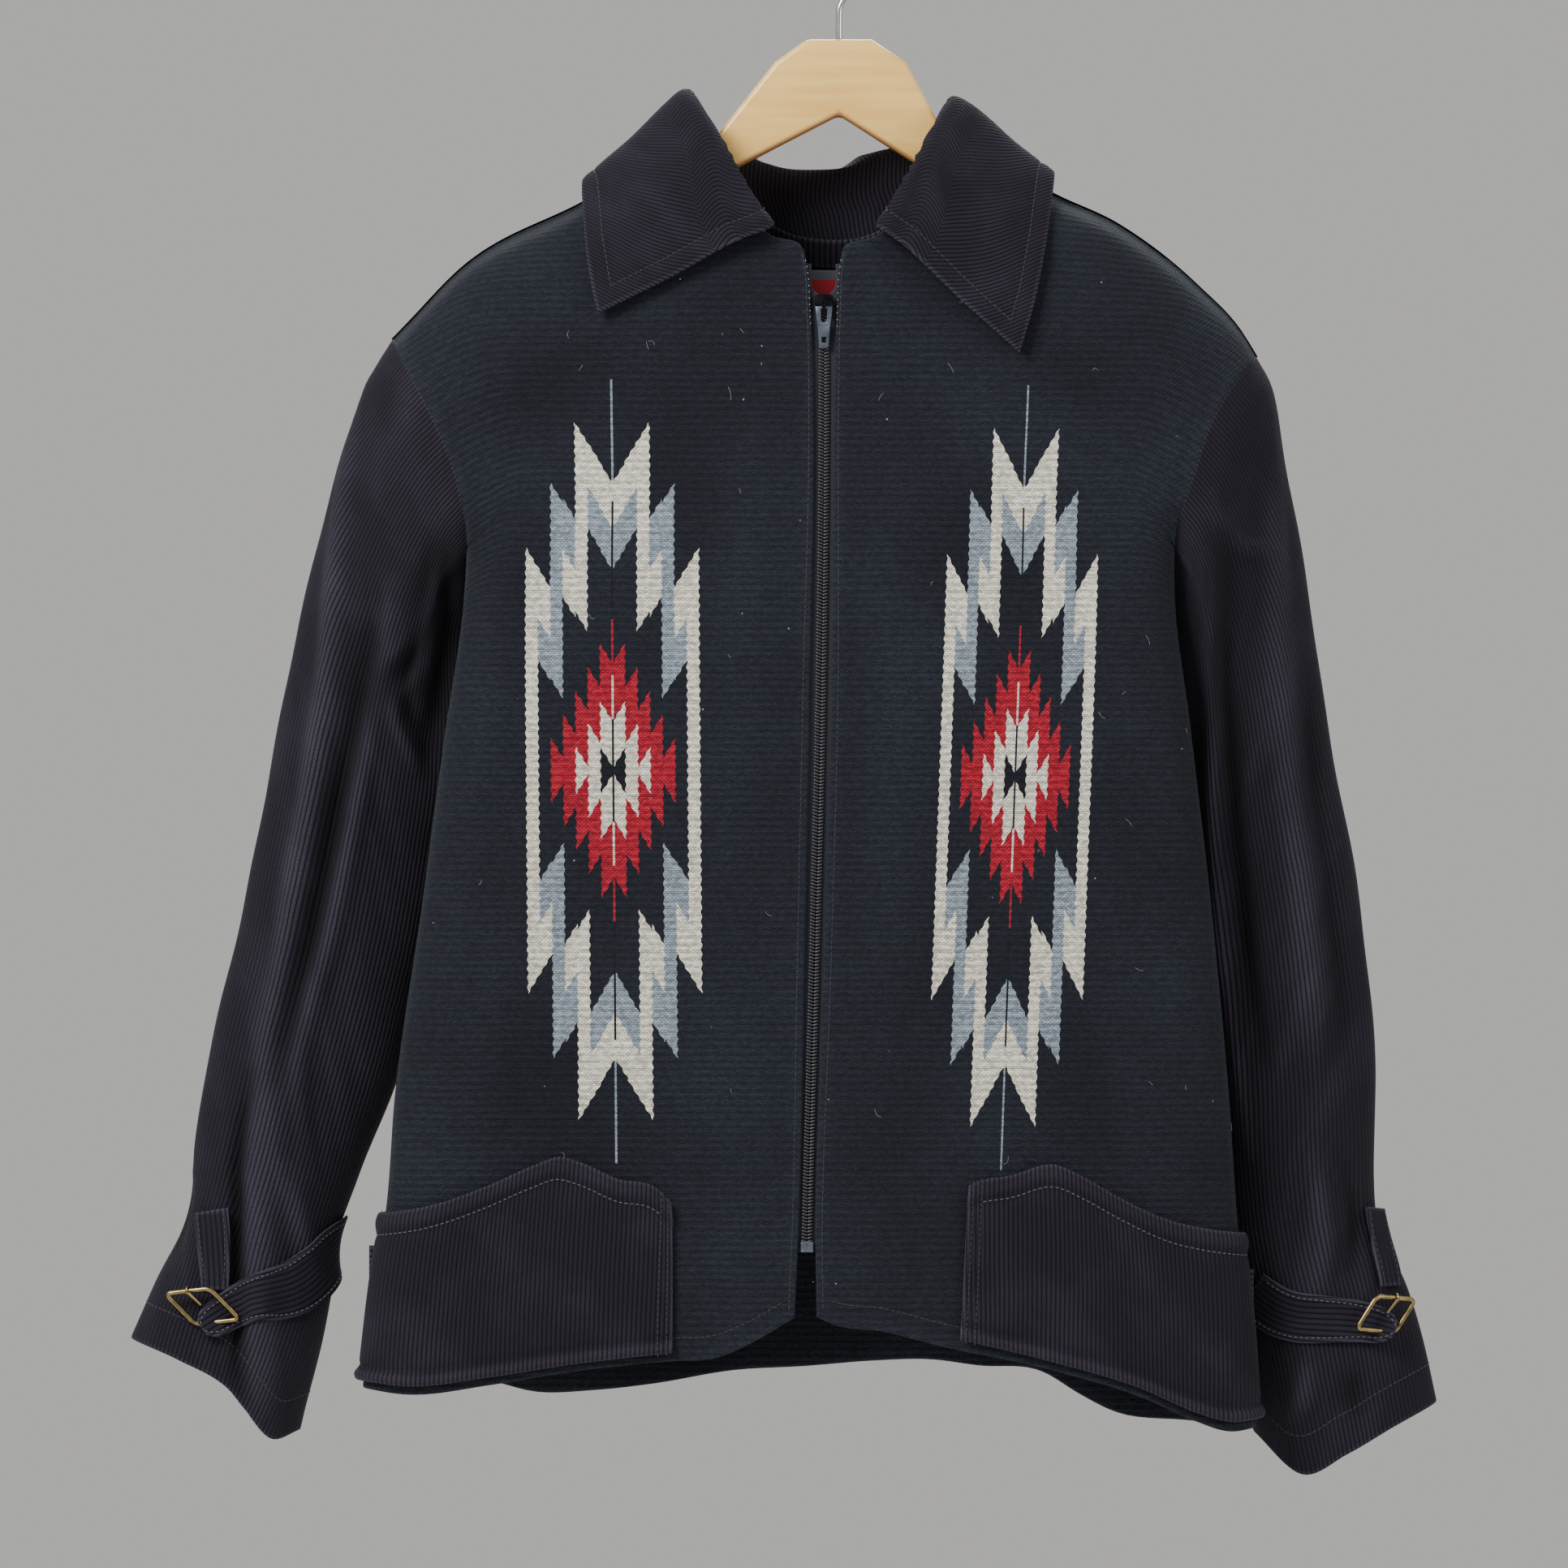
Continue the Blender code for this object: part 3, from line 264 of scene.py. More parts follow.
def body_y(x, down, face):
    """Depth of the front, face -1, or of the back, face 1, at any place."""
    depth = front_y if face < 0 else back_y
    return np.where(x < 0, depth(RIGHT, np.abs(x), down), depth(LEFT, np.abs(x), down))


def side_wrap(side, share, down):
    """The front's turn from its outline, share 0, back to the side seam, share 1, as (out, y)."""
    reach = read(side["edge"], down)
    depth = (1 - TURN_SHARE) * read(BODY_DEPTHS, down)
    seam = reach - SIDE_SEAM_TUCK
    ends = ((reach, -depth), (reach, -depth / 2), (seam + SEAM_LEAD, SEAM_LEAD_Y), (seam, 0))
    weights = ((1 - share) ** 3, 3 * share * (1 - share) ** 2, 3 * share**2 * (1 - share), share**3)
    return tuple(sum(w * e[axis] for w, e in zip(weights, ends)) for axis in (0, 1))


def wrap_share(down):
    return float(eased((down - WRAP_STARTS) / (UNDERARM - WRAP_STARTS)))


def side_downs(side):
    """Heights of the rows at the side, from the hem to the shoulder tip, closer where the shoulder turns."""
    tip, hem = side["edge"][0][0], side["edge"][-1][0]
    low = shares_of(hem - tip - SHOULDER_ROLL, WOOL_STEP)
    low = low[low < 1 - RIM[1] / (hem - tip)]
    turns = np.linspace(math.pi / 2, 0, round(SHOULDER_ROLL * math.pi / 2 / WOOL_STEP))
    high = tip + SHOULDER_ROLL * (1 - np.cos(turns))
    return np.concatenate([hem - low * (hem - tip - SHOULDER_ROLL), high])


def patch(u, v, low, high, near, far, corners):
    """A Coons patch: the point at shares u across and v up, between the points there of its four edges."""
    u = u[:, None]
    ruled = (1 - u) * near + u * far + (1 - v) * low + v * high
    lower = (1 - u) * corners[0] + u * corners[1]
    upper = (1 - u) * corners[2] + u * corners[3]
    return ruled - (1 - v) * lower - v * upper


def shoulder_seam(side):
    outs = np.linspace(side["shoulder"][-1][0], side["shoulder"][1][0], 41)
    return np.stack([outs, read(side["shoulder"], outs)], axis=-1)


def neckline(rows):
    """A neck edge from its table, on a smooth curve from end to end."""
    return smooth(np.arange(len(rows)), rows, np.linspace(0, len(rows) - 1, 41))


def in_place(grid, sign):
    """(out, y, down) as (x, y, z) in millimetres."""
    return grid * np.array([sign, 1.0, -1.0])


def grid_normals(grid, closed=False):
    """Unit normals of a grid of points, along the cross product of its rows and columns."""
    across = np.gradient(grid, axis=1)
    if closed:
        across = np.roll(grid, -1, axis=1) - np.roll(grid, 1, axis=1)
    normals = np.cross(across, np.gradient(grid, axis=0))
    return normals / np.maximum(np.linalg.norm(normals, axis=2, keepdims=True), 1e-9)


def facing_out(grid, outward):
    """The grid with its columns turned round where its normals point away from a direction."""
    middle = grid_normals(grid)[grid.shape[0] // 2, grid.shape[1] // 2]
    return grid if middle @ np.array(outward, float) > 0 else grid[:, ::-1]


def edge_distance(grid, closed=False):
    """Distance of each point from the nearest free edge of its cloth, in millimetres."""
    down = lengths(grid, 0)
    near = np.minimum(down, down[-1:] - down)
    if closed:
        return near
    across = lengths(grid, 1)
    return np.minimum(near, np.minimum(across, across[:, -1:] - across))


def undulate(points):
    """The slow unevenness of hanging cloth: a sum of long waves, the same for all that lies on one place."""
    x, z = points[..., 0], points[..., 2]
    total = sum(np.sin(a * x + b * z + start) for a, b, start in WAVES)
    middle = (LEFT["front_edge"][3][1] - RIGHT["front_edge"][3][1]) / 2
    return WAVE_HEIGHT * total * eased((np.abs(x - middle) - WAVE_STARTS) / WAVE_FADE)


def nearest_on(line, points):
    """Each point's distance to a line of points, and the share of the line's length where it is nearest."""
    reach = lengths(line)
    best = np.full(points.shape[:-1], 1e9)
    share = np.zeros(points.shape[:-1])
    for k in range(len(line) - 1):
        step = line[k + 1] - line[k]
        size = max(float(step @ step), 1e-9)
        t = np.clip((points - line[k]) @ step / size, 0, 1)
        gap = np.linalg.norm(points - line[k] - t[..., None] * step, axis=-1)
        closer = gap < best
        best = np.where(closer, gap, best)
        share = np.where(closer, (reach[k] + t * math.sqrt(size)) / reach[-1], share)
    return best, share


def on_face(grid, x, down, front=-1.0):
    """The point of a grid that shows at a place from the front, or with front 1 from behind."""
    facing = grid_normals(grid)[..., 1] * front > 0.05
    gap = np.hypot(grid[..., 0] - x, grid[..., 2] + down) + np.where(facing, 0, 1e4)
    return grid[np.unravel_index(np.argmin(gap), gap.shape)]


def crease_lines(grid, creases, front=-1.0):
    """Creases laid on a grid. Each is a half width, a height (troughs are negative), then x, down places."""
    lines = []
    for half, height, *places in creases:
        marks = np.array([on_face(grid, x, down, front) for x, down in places])
        line = smooth(np.arange(len(marks)), marks, np.linspace(0, len(marks) - 1, 6 * len(marks)))
        lines.append((half, height, line))
    return lines


def rise(points, lines):
    """How far the creases push points out, fading towards both ends of each crease."""
    total = np.zeros(points.shape[:-1])
    for half, height, line in lines:
        gap, share = nearest_on(line, points)
        total += height * np.exp(-((gap / half) ** 2)) * np.sin(math.pi * np.clip(share, 0.02, 0.98)) ** 0.6
    return total


def off_seams(side, points, reach):
    """0 at the side, armhole and shoulder seams and 1 away from them, so that the panels still meet there."""
    out, down = side["sign"] * points[..., 0], -points[..., 2]
    inward, drop = reach(side, down) - out, down - read(side["shoulder"], out)
    return eased(inward / SIDE_FADE) * eased(drop / SHOULDER_FADE)


def front_reach(side, down):
    return read(side["edge"], down)


def shell(name, grid, thickness, cloth_map, finish, closed=False, keep_to=0, figure=None, crest=0.0):
    """A closed cloth wall from a grid of points on its outer face, with rounded free edges.

    A closed grid's columns join up. cloth_map holds each point's place on the flat cloth in metres, with one
    more column on a closed grid. keep_to -1 keeps the wall in front of the side and shoulder seams, 1 behind.
    crest is how far creases push each point out; the finishes paint the ridges paler, as worn cloth and a
    painted highlight, and the troughs darker, as painted shade.
    """
    rows, columns = grid.shape[:2]
    normals = grid_normals(grid, closed)
    inset = edge_distance(grid, closed)
    round_off = thickness / 2 * (1 - rounded(inset / RIM[-1]))
    face = grid - normals * round_off[..., None]
    far = grid - normals * (thickness - round_off)[..., None]
    if keep_to:
        far[:, :, 1] = keep_to * np.maximum(keep_to * far[:, :, 1], SEAM_GAP / 2)
        face[:, :, 1] = keep_to * np.maximum(keep_to * face[:, :, 1], SEAM_GAP / 2)
    steps = columns if closed else columns - 1
    r, c = (a.ravel() for a in np.meshgrid(np.arange(rows - 1), np.arange(steps), indexing="ij"))
    face_quads = np.array([(r, c, 0 * r), (r, c + 1, 0 * r), (r + 1, c + 1, 0 * r), (r + 1, c, 0 * r)])
    far_quads = face_quads[::-1] + np.array([0, 0, 1])[None, :, None]

    def rim(row, column, next_row, next_column):
        outer = 0 * row
        ends = ((row, column), (next_row, next_column))
        return np.array([(*ends[0], outer), (*ends[1], outer), (*ends[1], outer + 1), (*ends[0], outer + 1)])

    c, r = np.arange(steps), np.arange(rows - 1)
    first, last, near, end = 0 * c, 0 * c + rows - 1, 0 * r, 0 * r + columns - 1
    parts = [face_quads, far_quads, rim(first, c + 1, first, c), rim(last, c, last, c + 1)]
    if not closed:
        parts += [rim(r, near, r + 1, near), rim(r + 1, end, r, end)]
    corners = np.concatenate([p.transpose(2, 0, 1) for p in parts]).reshape(-1, 3)
    index = corners[:, 2] * rows * columns + corners[:, 0] * columns + corners[:, 1] % columns
    mesh = bpy.data.meshes.new(name)
    points = np.concatenate([face.reshape(-1, 3), far.reshape(-1, 3)]) * MM
    mesh.from_pydata(points.tolist(), [], index.reshape(-1, 4).tolist())
    for map_name, places in (("cloth", cloth_map), ("figure", figure)):
        if places is not None:
            layer = mesh.uv_layers.new(name=map_name)
            layer.data.foreach_set("uv", places[corners[:, 0], corners[:, 1]].astype(np.float32).ravel())
    for key, values in (("edge", inset), ("crest", np.broadcast_to(crest, inset.shape))):
        layer = mesh.attributes.new(key, "FLOAT", "POINT")
        layer.data.foreach_set("value", np.tile(values.ravel(), 2).astype(np.float32))
    mesh.shade_smooth()
    mesh.materials.append(finish)
    made = bpy.data.objects.new(name, mesh)
    bpy.context.scene.collection.objects.link(made)
    return made


def node(tree, kind, inputs=(), **settings):
    """A node with its settings, and inputs given as values or as the sockets to link."""
    made = tree.nodes.new(kind)
    for key, value in settings.items():
        setattr(made, key, value)
    for key, value in dict(inputs).items():
        if isinstance(value, bpy.types.NodeSocket):
            tree.links.new(value, made.inputs[key])
        else:
            made.inputs[key].default_value = value
    return made


def calc(tree, operation, *values):
    return node(tree, "ShaderNodeMath", enumerate(values), operation=operation).outputs[0]


def blend(tree, share, colour, other, how="MIX"):
    """A mix of two colours."""
    inputs = {6: colour, 7: other}
    inputs = {key: (*value, 1) if isinstance(value, tuple) else value for key, value in inputs.items()}
    return node(tree, "ShaderNodeMix", {0: share, **inputs}, data_type="RGBA", blend_type=how).outputs[2]


def shaded(tree, colour, shade):
    """A colour multiplied by a value."""
    light = node(tree, "ShaderNodeCombineXYZ", {0: shade, 1: shade, 2: shade}).outputs[0]
    return blend(tree, 1.0, colour, light, "MULTIPLY")


def dressed(tree, shader, colour, height, strength, depth):
    """Gives a shader its colour and its relief, whose depth is in millimetres."""
    tree.links.new(colour, shader.inputs["Base Color"])
    bump = node(tree, "ShaderNodeBump", {"Height": height, "Strength": strength, "Distance": depth * MM})
    tree.links.new(bump.outputs[0], shader.inputs["Normal"])


def noise(tree, place, scale, detail=2.0):
    return node(tree, "ShaderNodeTexNoise", {"Vector": place, "Scale": scale, "Detail": detail}).outputs[0]


def between(tree, value, low, high, to_low=0.0, to_high=1.0):
    """The value taken from one range to another, and held at its ends."""
    inputs = {0: value, 1: low, 2: high, 3: to_low, 4: to_high}
    return node(tree, "ShaderNodeMapRange", inputs).outputs[0]


def steps_of(tree, value, stops):
    """A colour ramp without any blending between its stops."""
    ramp = node(tree, "ShaderNodeValToRGB", {0: value})
    ramp.color_ramp.interpolation = "CONSTANT"
    while len(ramp.color_ramp.elements) < len(stops):
        ramp.color_ramp.elements.new(0.5)
    for element, (place, colour) in zip(ramp.color_ramp.elements, stops):
        element.position = place
        element.color = (*colour, 1)
    return ramp.outputs[0]


def new_finish(name, **sockets):
    """A material, its tree and its shader, with values that are the same all over the surface."""
    made = bpy.data.materials.new(name)
    made.use_nodes = True
    shader = made.node_tree.nodes["Principled BSDF"]
    for key, value in sockets.items():
        socket = shader.inputs[key.replace("_", " ").title().replace("Ior", "IOR")]
        socket.default_value = (*value, 1) if isinstance(value, tuple) else value
    return made, made.node_tree, shader


def cloth_place(tree, map_name="cloth"):
    """A map's two coordinates, and the map itself."""
    place = node(tree, "ShaderNodeUVMap", uv_map=map_name).outputs[0]
    parts = node(tree, "ShaderNodeSeparateXYZ", {0: place})
    return parts.outputs[0], parts.outputs[1], place


# The figure on each front, drawn for this jacket: columns outwards from its middle, each one unit wide.
# Every limit is a height in millimetres at the column's outer side, and slants down towards the middle.
FIGURE_UNIT = 6.85
FIGURE_SLANT = 1.65
FIGURE_SCALE = 220.0
CREAM = (0.78, 0.74, 0.62)
GREY = (0.27, 0.325, 0.38)
RED = (0.40, 0.011, 0.030)
# top, change, foot, upper yarn, lower yarn, then the heights of the red, cream and dark middle
FIGURE = (
    (170, 145, 122, CREAM, GREY, 70, 38, 13),
    (182, 157, 134, CREAM, GREY, 57, 26, 0),
    (193, 88, 88, CREAM, CREAM, 44, 13, 0),
    (150, 122, 96, GREY, CREAM, 31, 0, 0),
    (159, 51, 51, GREY, GREY, 18, 0, 0),
    (112, 84, 61, CREAM, GREY, 0, 0, 0),
    (123, 0, 0, CREAM, CREAM, 0, 0, 0),
    (0, 0, 0, CREAM, CREAM, 0, 0, 0),
)
NAVY = (0.0080, 0.0088, 0.0158)
NAVY_NAP_AND_HIGHLIGHT = (0.0195, 0.0245, 0.0365)
LINT = (0.28, 0.28, 0.27)
# The single warp line up the figure's middle: from this height it is this yarn
FIGURE_LINE = ((0, NAVY), (28, CREAM), (52, RED), (83, NAVY), (124, NAVY), (148, CREAM), (160, GREY))
FIGURE_LINE_TOP = 217.0
FIGURE_LINE_HALF = 0.085
# Each pick steps the figure's edges in or out a little: height of one step's turn, and its reach in columns
STEP_PITCH = 5.2
STEP_REACH = 0.055
RIB_PITCH = 4.05
PICK_PITCH = 1.05
WARP_PITCH = 2.1


def figured(tree, ground):
    """The ground colour with the stepped figure over it, from the figure map: columns out, height."""
    across, up, _ = cloth_place(tree, "figure")
    _, v, _ = cloth_place(tree)
    ripple = calc(tree, "SINE", calc(tree, "MULTIPLY", v, 2 * math.pi / (STEP_PITCH * MM)))
    a = calc(tree, "ABSOLUTE", calc(tree, "MULTIPLY_ADD", ripple, STEP_REACH, across))
    b = calc(tree, "ABSOLUTE", up)
    column = calc(tree, "FLOOR", a)
    slant = FIGURE_SLANT * FIGURE_UNIT / FIGURE_SCALE
    inside = calc(tree, "SUBTRACT", 1.0, calc(tree, "FRACT", a))
    height = calc(tree, "MULTIPLY_ADD", inside, slant, b)
    lookup = calc(tree, "DIVIDE", calc(tree, "ADD", column, 0.5), len(FIGURE))

    def by_column(values):
        return steps_of(tree, lookup, [(k / len(FIGURE), value) for k, value in enumerate(values)])

    def limits(first):
        heights = by_column([h / FIGURE_SCALE for h in row[first:first + 3]] for row in FIGURE)
        return node(tree, "ShaderNodeSeparateXYZ", {0: heights}).outputs

    top, change, foot = limits(0)
    below_top = calc(tree, "LESS_THAN", height, top)
    above_foot = calc(tree, "GREATER_THAN", height, foot)
    band = calc(tree, "MULTIPLY", below_top, above_foot)
    lower, upper = by_column(row[4] for row in FIGURE), by_column(row[3] for row in FIGURE)
    yarn = blend(tree, calc(tree, "GREATER_THAN", height, change), lower, upper)
    colour = blend(tree, band, ground, yarn)
    red, cream, dark = limits(5)
    for limit, inner in ((red, RED), (cream, CREAM), (dark, NAVY)):
        colour = blend(tree, calc(tree, "LESS_THAN", height, limit), colour, inner)
    line = steps_of(tree, b, [(h / FIGURE_SCALE, yarn) for h, yarn in FIGURE_LINE])
    near_middle = calc(tree, "LESS_THAN", calc(tree, "ABSOLUTE", across), FIGURE_LINE_HALF)
    on_line = calc(tree, "MULTIPLY", near_middle, calc(tree, "LESS_THAN", b, FIGURE_LINE_TOP / FIGURE_SCALE))
    return blend(tree, on_line, colour, line)


def wool(name, with_figure):
    """Weft-faced wool: fine picks over the warp, gathered in ribs, with a soft unevenly napped face. Its
    crease ridges are paler, worn and with a painted highlight, and its crease troughs darker with painted
    shade.
    """
    made, tree, shader = new_finish(
        name, roughness=0.9, sheen_weight=0.09, sheen_roughness=0.4, sheen_tint=(0.55, 0.68, 0.74),
        specular_ior_level=0.25,
    )
    u, v, place = cloth_place(tree)
    wander = noise(tree, place, 26.0)
    wander = calc(tree, "MULTIPLY", wander, 3.2)
    rib_turn = calc(tree, "MULTIPLY_ADD", v, 2 * math.pi / (RIB_PITCH * MM), wander)
    rib = calc(tree, "MULTIPLY_ADD", calc(tree, "SINE", rib_turn), 0.5, 0.5)
    pick = calc(tree, "DIVIDE", v, PICK_PITCH * MM)
    odd = calc(tree, "MULTIPLY", calc(tree, "PINGPONG", calc(tree, "FLOOR", pick), 1.0), 0.5)
    warp = calc(tree, "ADD", calc(tree, "DIVIDE", u, WARP_PITCH * MM), odd)
    bead = calc(tree, "MULTIPLY", *(
        calc(tree, "SINE", calc(tree, "MULTIPLY", calc(tree, "FRACT", t), math.pi)) for t in (pick, warp)
    ))
    cell = {0: calc(tree, "FLOOR", warp), 1: calc(tree, "FLOOR", pick)}
    cell = node(tree, "ShaderNodeCombineXYZ", cell).outputs[0]
    fleck = node(tree, "ShaderNodeTexWhiteNoise", {0: cell}, noise_dimensions="2D").outputs["Value"]
    fuzz = noise(tree, place, 900.0, 3.0)
    edge = node(tree, "ShaderNodeAttribute", attribute_name="edge").outputs["Fac"]
    patches = noise(tree, place, 9.0, 3.0)
    crest = node(tree, "ShaderNodeAttribute", attribute_name="crest").outputs["Fac"]
    nap_and_painted_crease_light = between(tree, fuzz, 0.5, 0.8, 0.0, 0.3)
    nap_and_painted_crease_light = calc(tree, "MULTIPLY_ADD", between(tree, patches, 0.35, 0.7), 0.45, nap_and_painted_crease_light)
    nap_and_painted_crease_light = calc(tree, "ADD", nap_and_painted_crease_light, between(tree, edge, 0.5, 9.0, 0.4, 0.0))
    # Crease ridges are paler, worn and with a painted highlight, and crease troughs darker with painted
    # shade.
    nap_and_painted_crease_light = calc(tree, "ADD", nap_and_painted_crease_light, between(tree, crest, -2.5, 2.5, -0.3, 0.4))
    ground = blend(tree, nap_and_painted_crease_light, NAVY, NAVY_NAP_AND_HIGHLIGHT)
    colour = figured(tree, ground) if with_figure else ground
    shade = calc(tree, "ADD", calc(tree, "MULTIPLY_ADD", rib, 0.3, 0.42), calc(tree, "MULTIPLY", bead, 0.55))
    shade = calc(tree, "MULTIPLY", shade, between(tree, fleck, 0.0, 1.0, 0.66, 1.28))
    colour = shaded(tree, colour, shade)
    dots = node(tree, "ShaderNodeTexVoronoi", {"Vector": place, "Scale": 95.0, "Randomness": 1.0})
    sparse = calc(tree, "GREATER_THAN", noise(tree, place, 60.0), 0.6)
    speck = calc(tree, "MULTIPLY", calc(tree, "LESS_THAN", dots.outputs["Distance"], 0.045), sparse)
    colour = blend(tree, speck, colour, LINT)
    height = calc(tree, "MULTIPLY_ADD", rib, 0.4, calc(tree, "MULTIPLY", bead, 0.4))
    height = calc(tree, "MULTIPLY_ADD", fuzz, 0.35, height)
    dressed(tree, shader, colour, height, 0.9, 1.0)
    return made


def fitted(obj, body, slot, *parts):
    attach(obj, body)
    if parts:
        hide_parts(*parts)


def hung_cloth(obj, slot, part, flat, area, held="hung", rests_on=()):
    fitted(obj, "jacket", slot, part)


def woven_map(grid, zip_column):
    """Each point's place on the flat panel: along its row from the zip, and up its column from the hem."""
    across = lengths(grid[:, :, :2], 1)
    across = across - across[:, zip_column:zip_column + 1] if zip_column == 0 else across - across[:, -1:]
    up = lengths(grid[:, :, 1:], 0) + grid[:1, :, 2]
    return np.stack([across + grid[:, zip_column, 0][:, None], up], axis=-1) * MM


# x, down, lean per millimetre down and width scale of each side's figure
FIGURE_PLACES = {"right": (-124.7, 477.0, 0.0074, 1.0), "left": (96.8, 480.6, -0.0357, 0.87)}
# half width, height, then x, down places
FRONT_CREASES = {
    "right": (
        (16, 2.2, (-238, 262), (-205, 330), (-196, 420), (-205, 520)),
        (11, -1.8, (-222, 300), (-218, 400), (-226, 520), (-236, 640)),
        (18, 1.6, (-60, 250), (-52, 380), (-58, 540), (-66, 700)),
        (22, -1.4, (-96, 230), (-150, 262), (-200, 300)),
        (14, 1.3, (-180, 560), (-200, 650), (-214, 700)),
    ),
    "left": (
        (15, 2.0, (222, 262), (196, 320), (184, 410), (188, 520)),
        (11, -1.7, (204, 300), (196, 400), (200, 520), (206, 640)),
        (18, 1.5, (34, 250), (30, 380), (28, 540), (30, 700)),
        (22, -1.3, (84, 230), (130, 262), (186, 300)),
        (15, 1.4, (150, 600), (168, 680), (176, 716)),
    ),
}
FRONT_FLAT = (0.32, 0.72)
FRONT_AREA = {"right": 0.175, "left": 0.152}
fine_across = np.linspace(0, 1, 90)
front_faces, front_folds = {}, {}


def sew_shoulder(side, rows, edge):
    """Brings one panel's rows, in depth, to the shoulder seam over their last few millimetres."""
    drop = np.maximum(rows[..., 2] - read(side["shoulder"], np.abs(rows[..., 0])), 0)
    rows[..., 1] += (edge - rows[..., 1]) * np.exp(-(drop / SEAM_EASE) ** 2)


def front_rows(side):
    """Outer face of one front as (out, y, down): rows from the hem up, columns from the side to the zip."""
    ends = side["hem"][-1][0], side["hem"][0][0]
    hem_outs = ends[0] + fine_across * (ends[1] - ends[0])
    hem = np.stack([hem_outs, read(side["hem"], hem_outs)], axis=-1)
    top = along(np.concatenate([shoulder_seam(side), neckline(side["neckline"])[1:]]), fine_across)
    corners = (hem[0], hem[-1], top[0], top[-1])
    downs = side_downs(side)
    shares = shares_of(300.0, WOOL_STEP)
    rows = []
    for down in downs:
        up = (downs[0] - down) / (downs[0] - downs[-1])
        near = np.array([read(side["edge"], down), down])
        zip_down = side["hem"][0][1] + up * (side["neckline"][-1][1] - side["hem"][0][1])
        far = np.array([read(side["front_edge"], zip_down), zip_down])
        flat = patch(fine_across, up, hem, top, near, far, corners)
        line = np.stack([flat[:, 0], front_y(side, flat[:, 0], flat[:, 1]), flat[:, 1]], axis=-1)
        first = wrap_share(down)
        if first > 0:
            out, y = side_wrap(side, np.linspace(first, 0, 24)[:-1], down)
            line = np.concatenate([np.stack([out, y, np.full_like(out, down)], axis=-1), line])
        rows.append(along(line, shares))
    return np.array(rows)


for side in SIDES:
    name = side["name"] + "_front"
    grid = front_rows(side)
    grid[:, :, 1] = np.minimum(grid[:, :, 1], -SEAM_GAP / 2)
    sew_shoulder(side, grid, SEAM_LAP)
    grid = facing_out(in_place(grid, side["sign"]), (0, -1, 0))
    zip_column = grid.shape[1] - 1 if side["sign"] < 0 else 0
    cloth_map = woven_map(grid, zip_column)
    middle_x, middle_down, lean, wide = FIGURE_PLACES[side["name"]]
    height = cloth_map[:, :, 1] / MM + middle_down
    sideways = cloth_map[:, :, 0] / MM - middle_x + lean * height
    figure = np.stack([sideways / (FIGURE_UNIT * wide), height / FIGURE_SCALE], axis=-1)
    front_folds[side["name"]] = crease_lines(grid, FRONT_CREASES[side["name"]])
    pushed = (rise(grid, front_folds[side["name"]]) + undulate(grid)) * off_seams(side, grid, front_reach)
    grid = grid + grid_normals(grid) * pushed[..., None]
    front_faces[side["name"]] = grid
    front = shell(name + "_panel", grid, WOOL, cloth_map, wool(name + "_wool", True), keep_to=-1,
                  figure=figure, crest=pushed)
    hung_cloth(front, "wool", name, FRONT_FLAT, FRONT_AREA[side["name"]], rests_on=["hanger"])

BACK_CREASES = (
    (18, 2.2, (-206, 300), (-170, 380), (-150, 480)),
    (18, 2.0, (186, 300), (150, 380), (128, 480)),
    (14, -1.8, (-120, 330), (-112, 500), (-118, 700)),
    (16, 1.8, (96, 380), (88, 560), (92, 760)),
    (20, -1.6, (-20, 260), (-10, 420), (-14, 600)),
    (15, 1.5, (-60, 560), (-54, 690), (-58, 790)),
)
BACK_FLAT = (0.52, 0.74)
BACK_AREA = 0.33


def back_rows():
    outs = np.linspace(BACK_HEM[0][0], BACK_HEM[-1][0], len(fine_across))
    hem = np.stack([outs, read(BACK_HEM, outs)], axis=-1)
    right = shoulder_seam(RIGHT) * (-1, 1)
    top = np.concatenate([right, neckline(BACK_NECKLINE)[1:-1], shoulder_seam(LEFT)[::-1]])
    top = along(top, fine_across)
    corners = (hem[0], hem[-1], top[0], top[-1])
    shares = shares_of(500.0, WOOL_STEP)
    rows = []
    right_downs, left_downs = side_downs(RIGHT), side_downs(LEFT)
    ups = (right_downs[0] - right_downs) / (right_downs[0] - right_downs[-1])
    left_ups = (left_downs[0] - left_downs) / (left_downs[0] - left_downs[-1])
    for down, up in zip(right_downs, ups):
        left_down = float(np.interp(up, left_ups, left_downs))
        near = np.array([-back_edge(RIGHT, down), down])
        far = np.array([back_edge(LEFT, left_down), left_down])
        flat = patch(fine_across, up, hem, top, near, far, corners)
        line = np.stack([flat[:, 0], body_y(flat[:, 0], flat[:, 1], 1), flat[:, 1]], axis=-1)
        rows.append(along(line, shares))
    return np.array(rows)


grid = back_rows()
grid[:, :, 1] = np.maximum(grid[:, :, 1], SEAM_GAP / 2)
half = grid.shape[1] // 2
sew_shoulder(RIGHT, grid[:, :half], -SEAM_LAP)
sew_shoulder(LEFT, grid[:, half:], -SEAM_LAP)
grid = facing_out(in_place(grid, 1.0), (0, 1, 0))
cloth_map = woven_map(grid, grid.shape[1] // 2)
pushed = rise(grid, crease_lines(grid, BACK_CREASES, 1.0)) + 1.5 * undulate(grid)
pushed *= np.where(grid[..., 0] < 0, off_seams(RIGHT, grid, back_edge), off_seams(LEFT, grid, back_edge))
grid = grid + grid_normals(grid) * pushed[..., None]
back = shell("back_panel", grid, WOOL, cloth_map, wool("back_wool", False), keep_to=1, crest=pushed)
hung_cloth(back, "wool", "back", BACK_FLAT, BACK_AREA, rests_on=["hanger"])

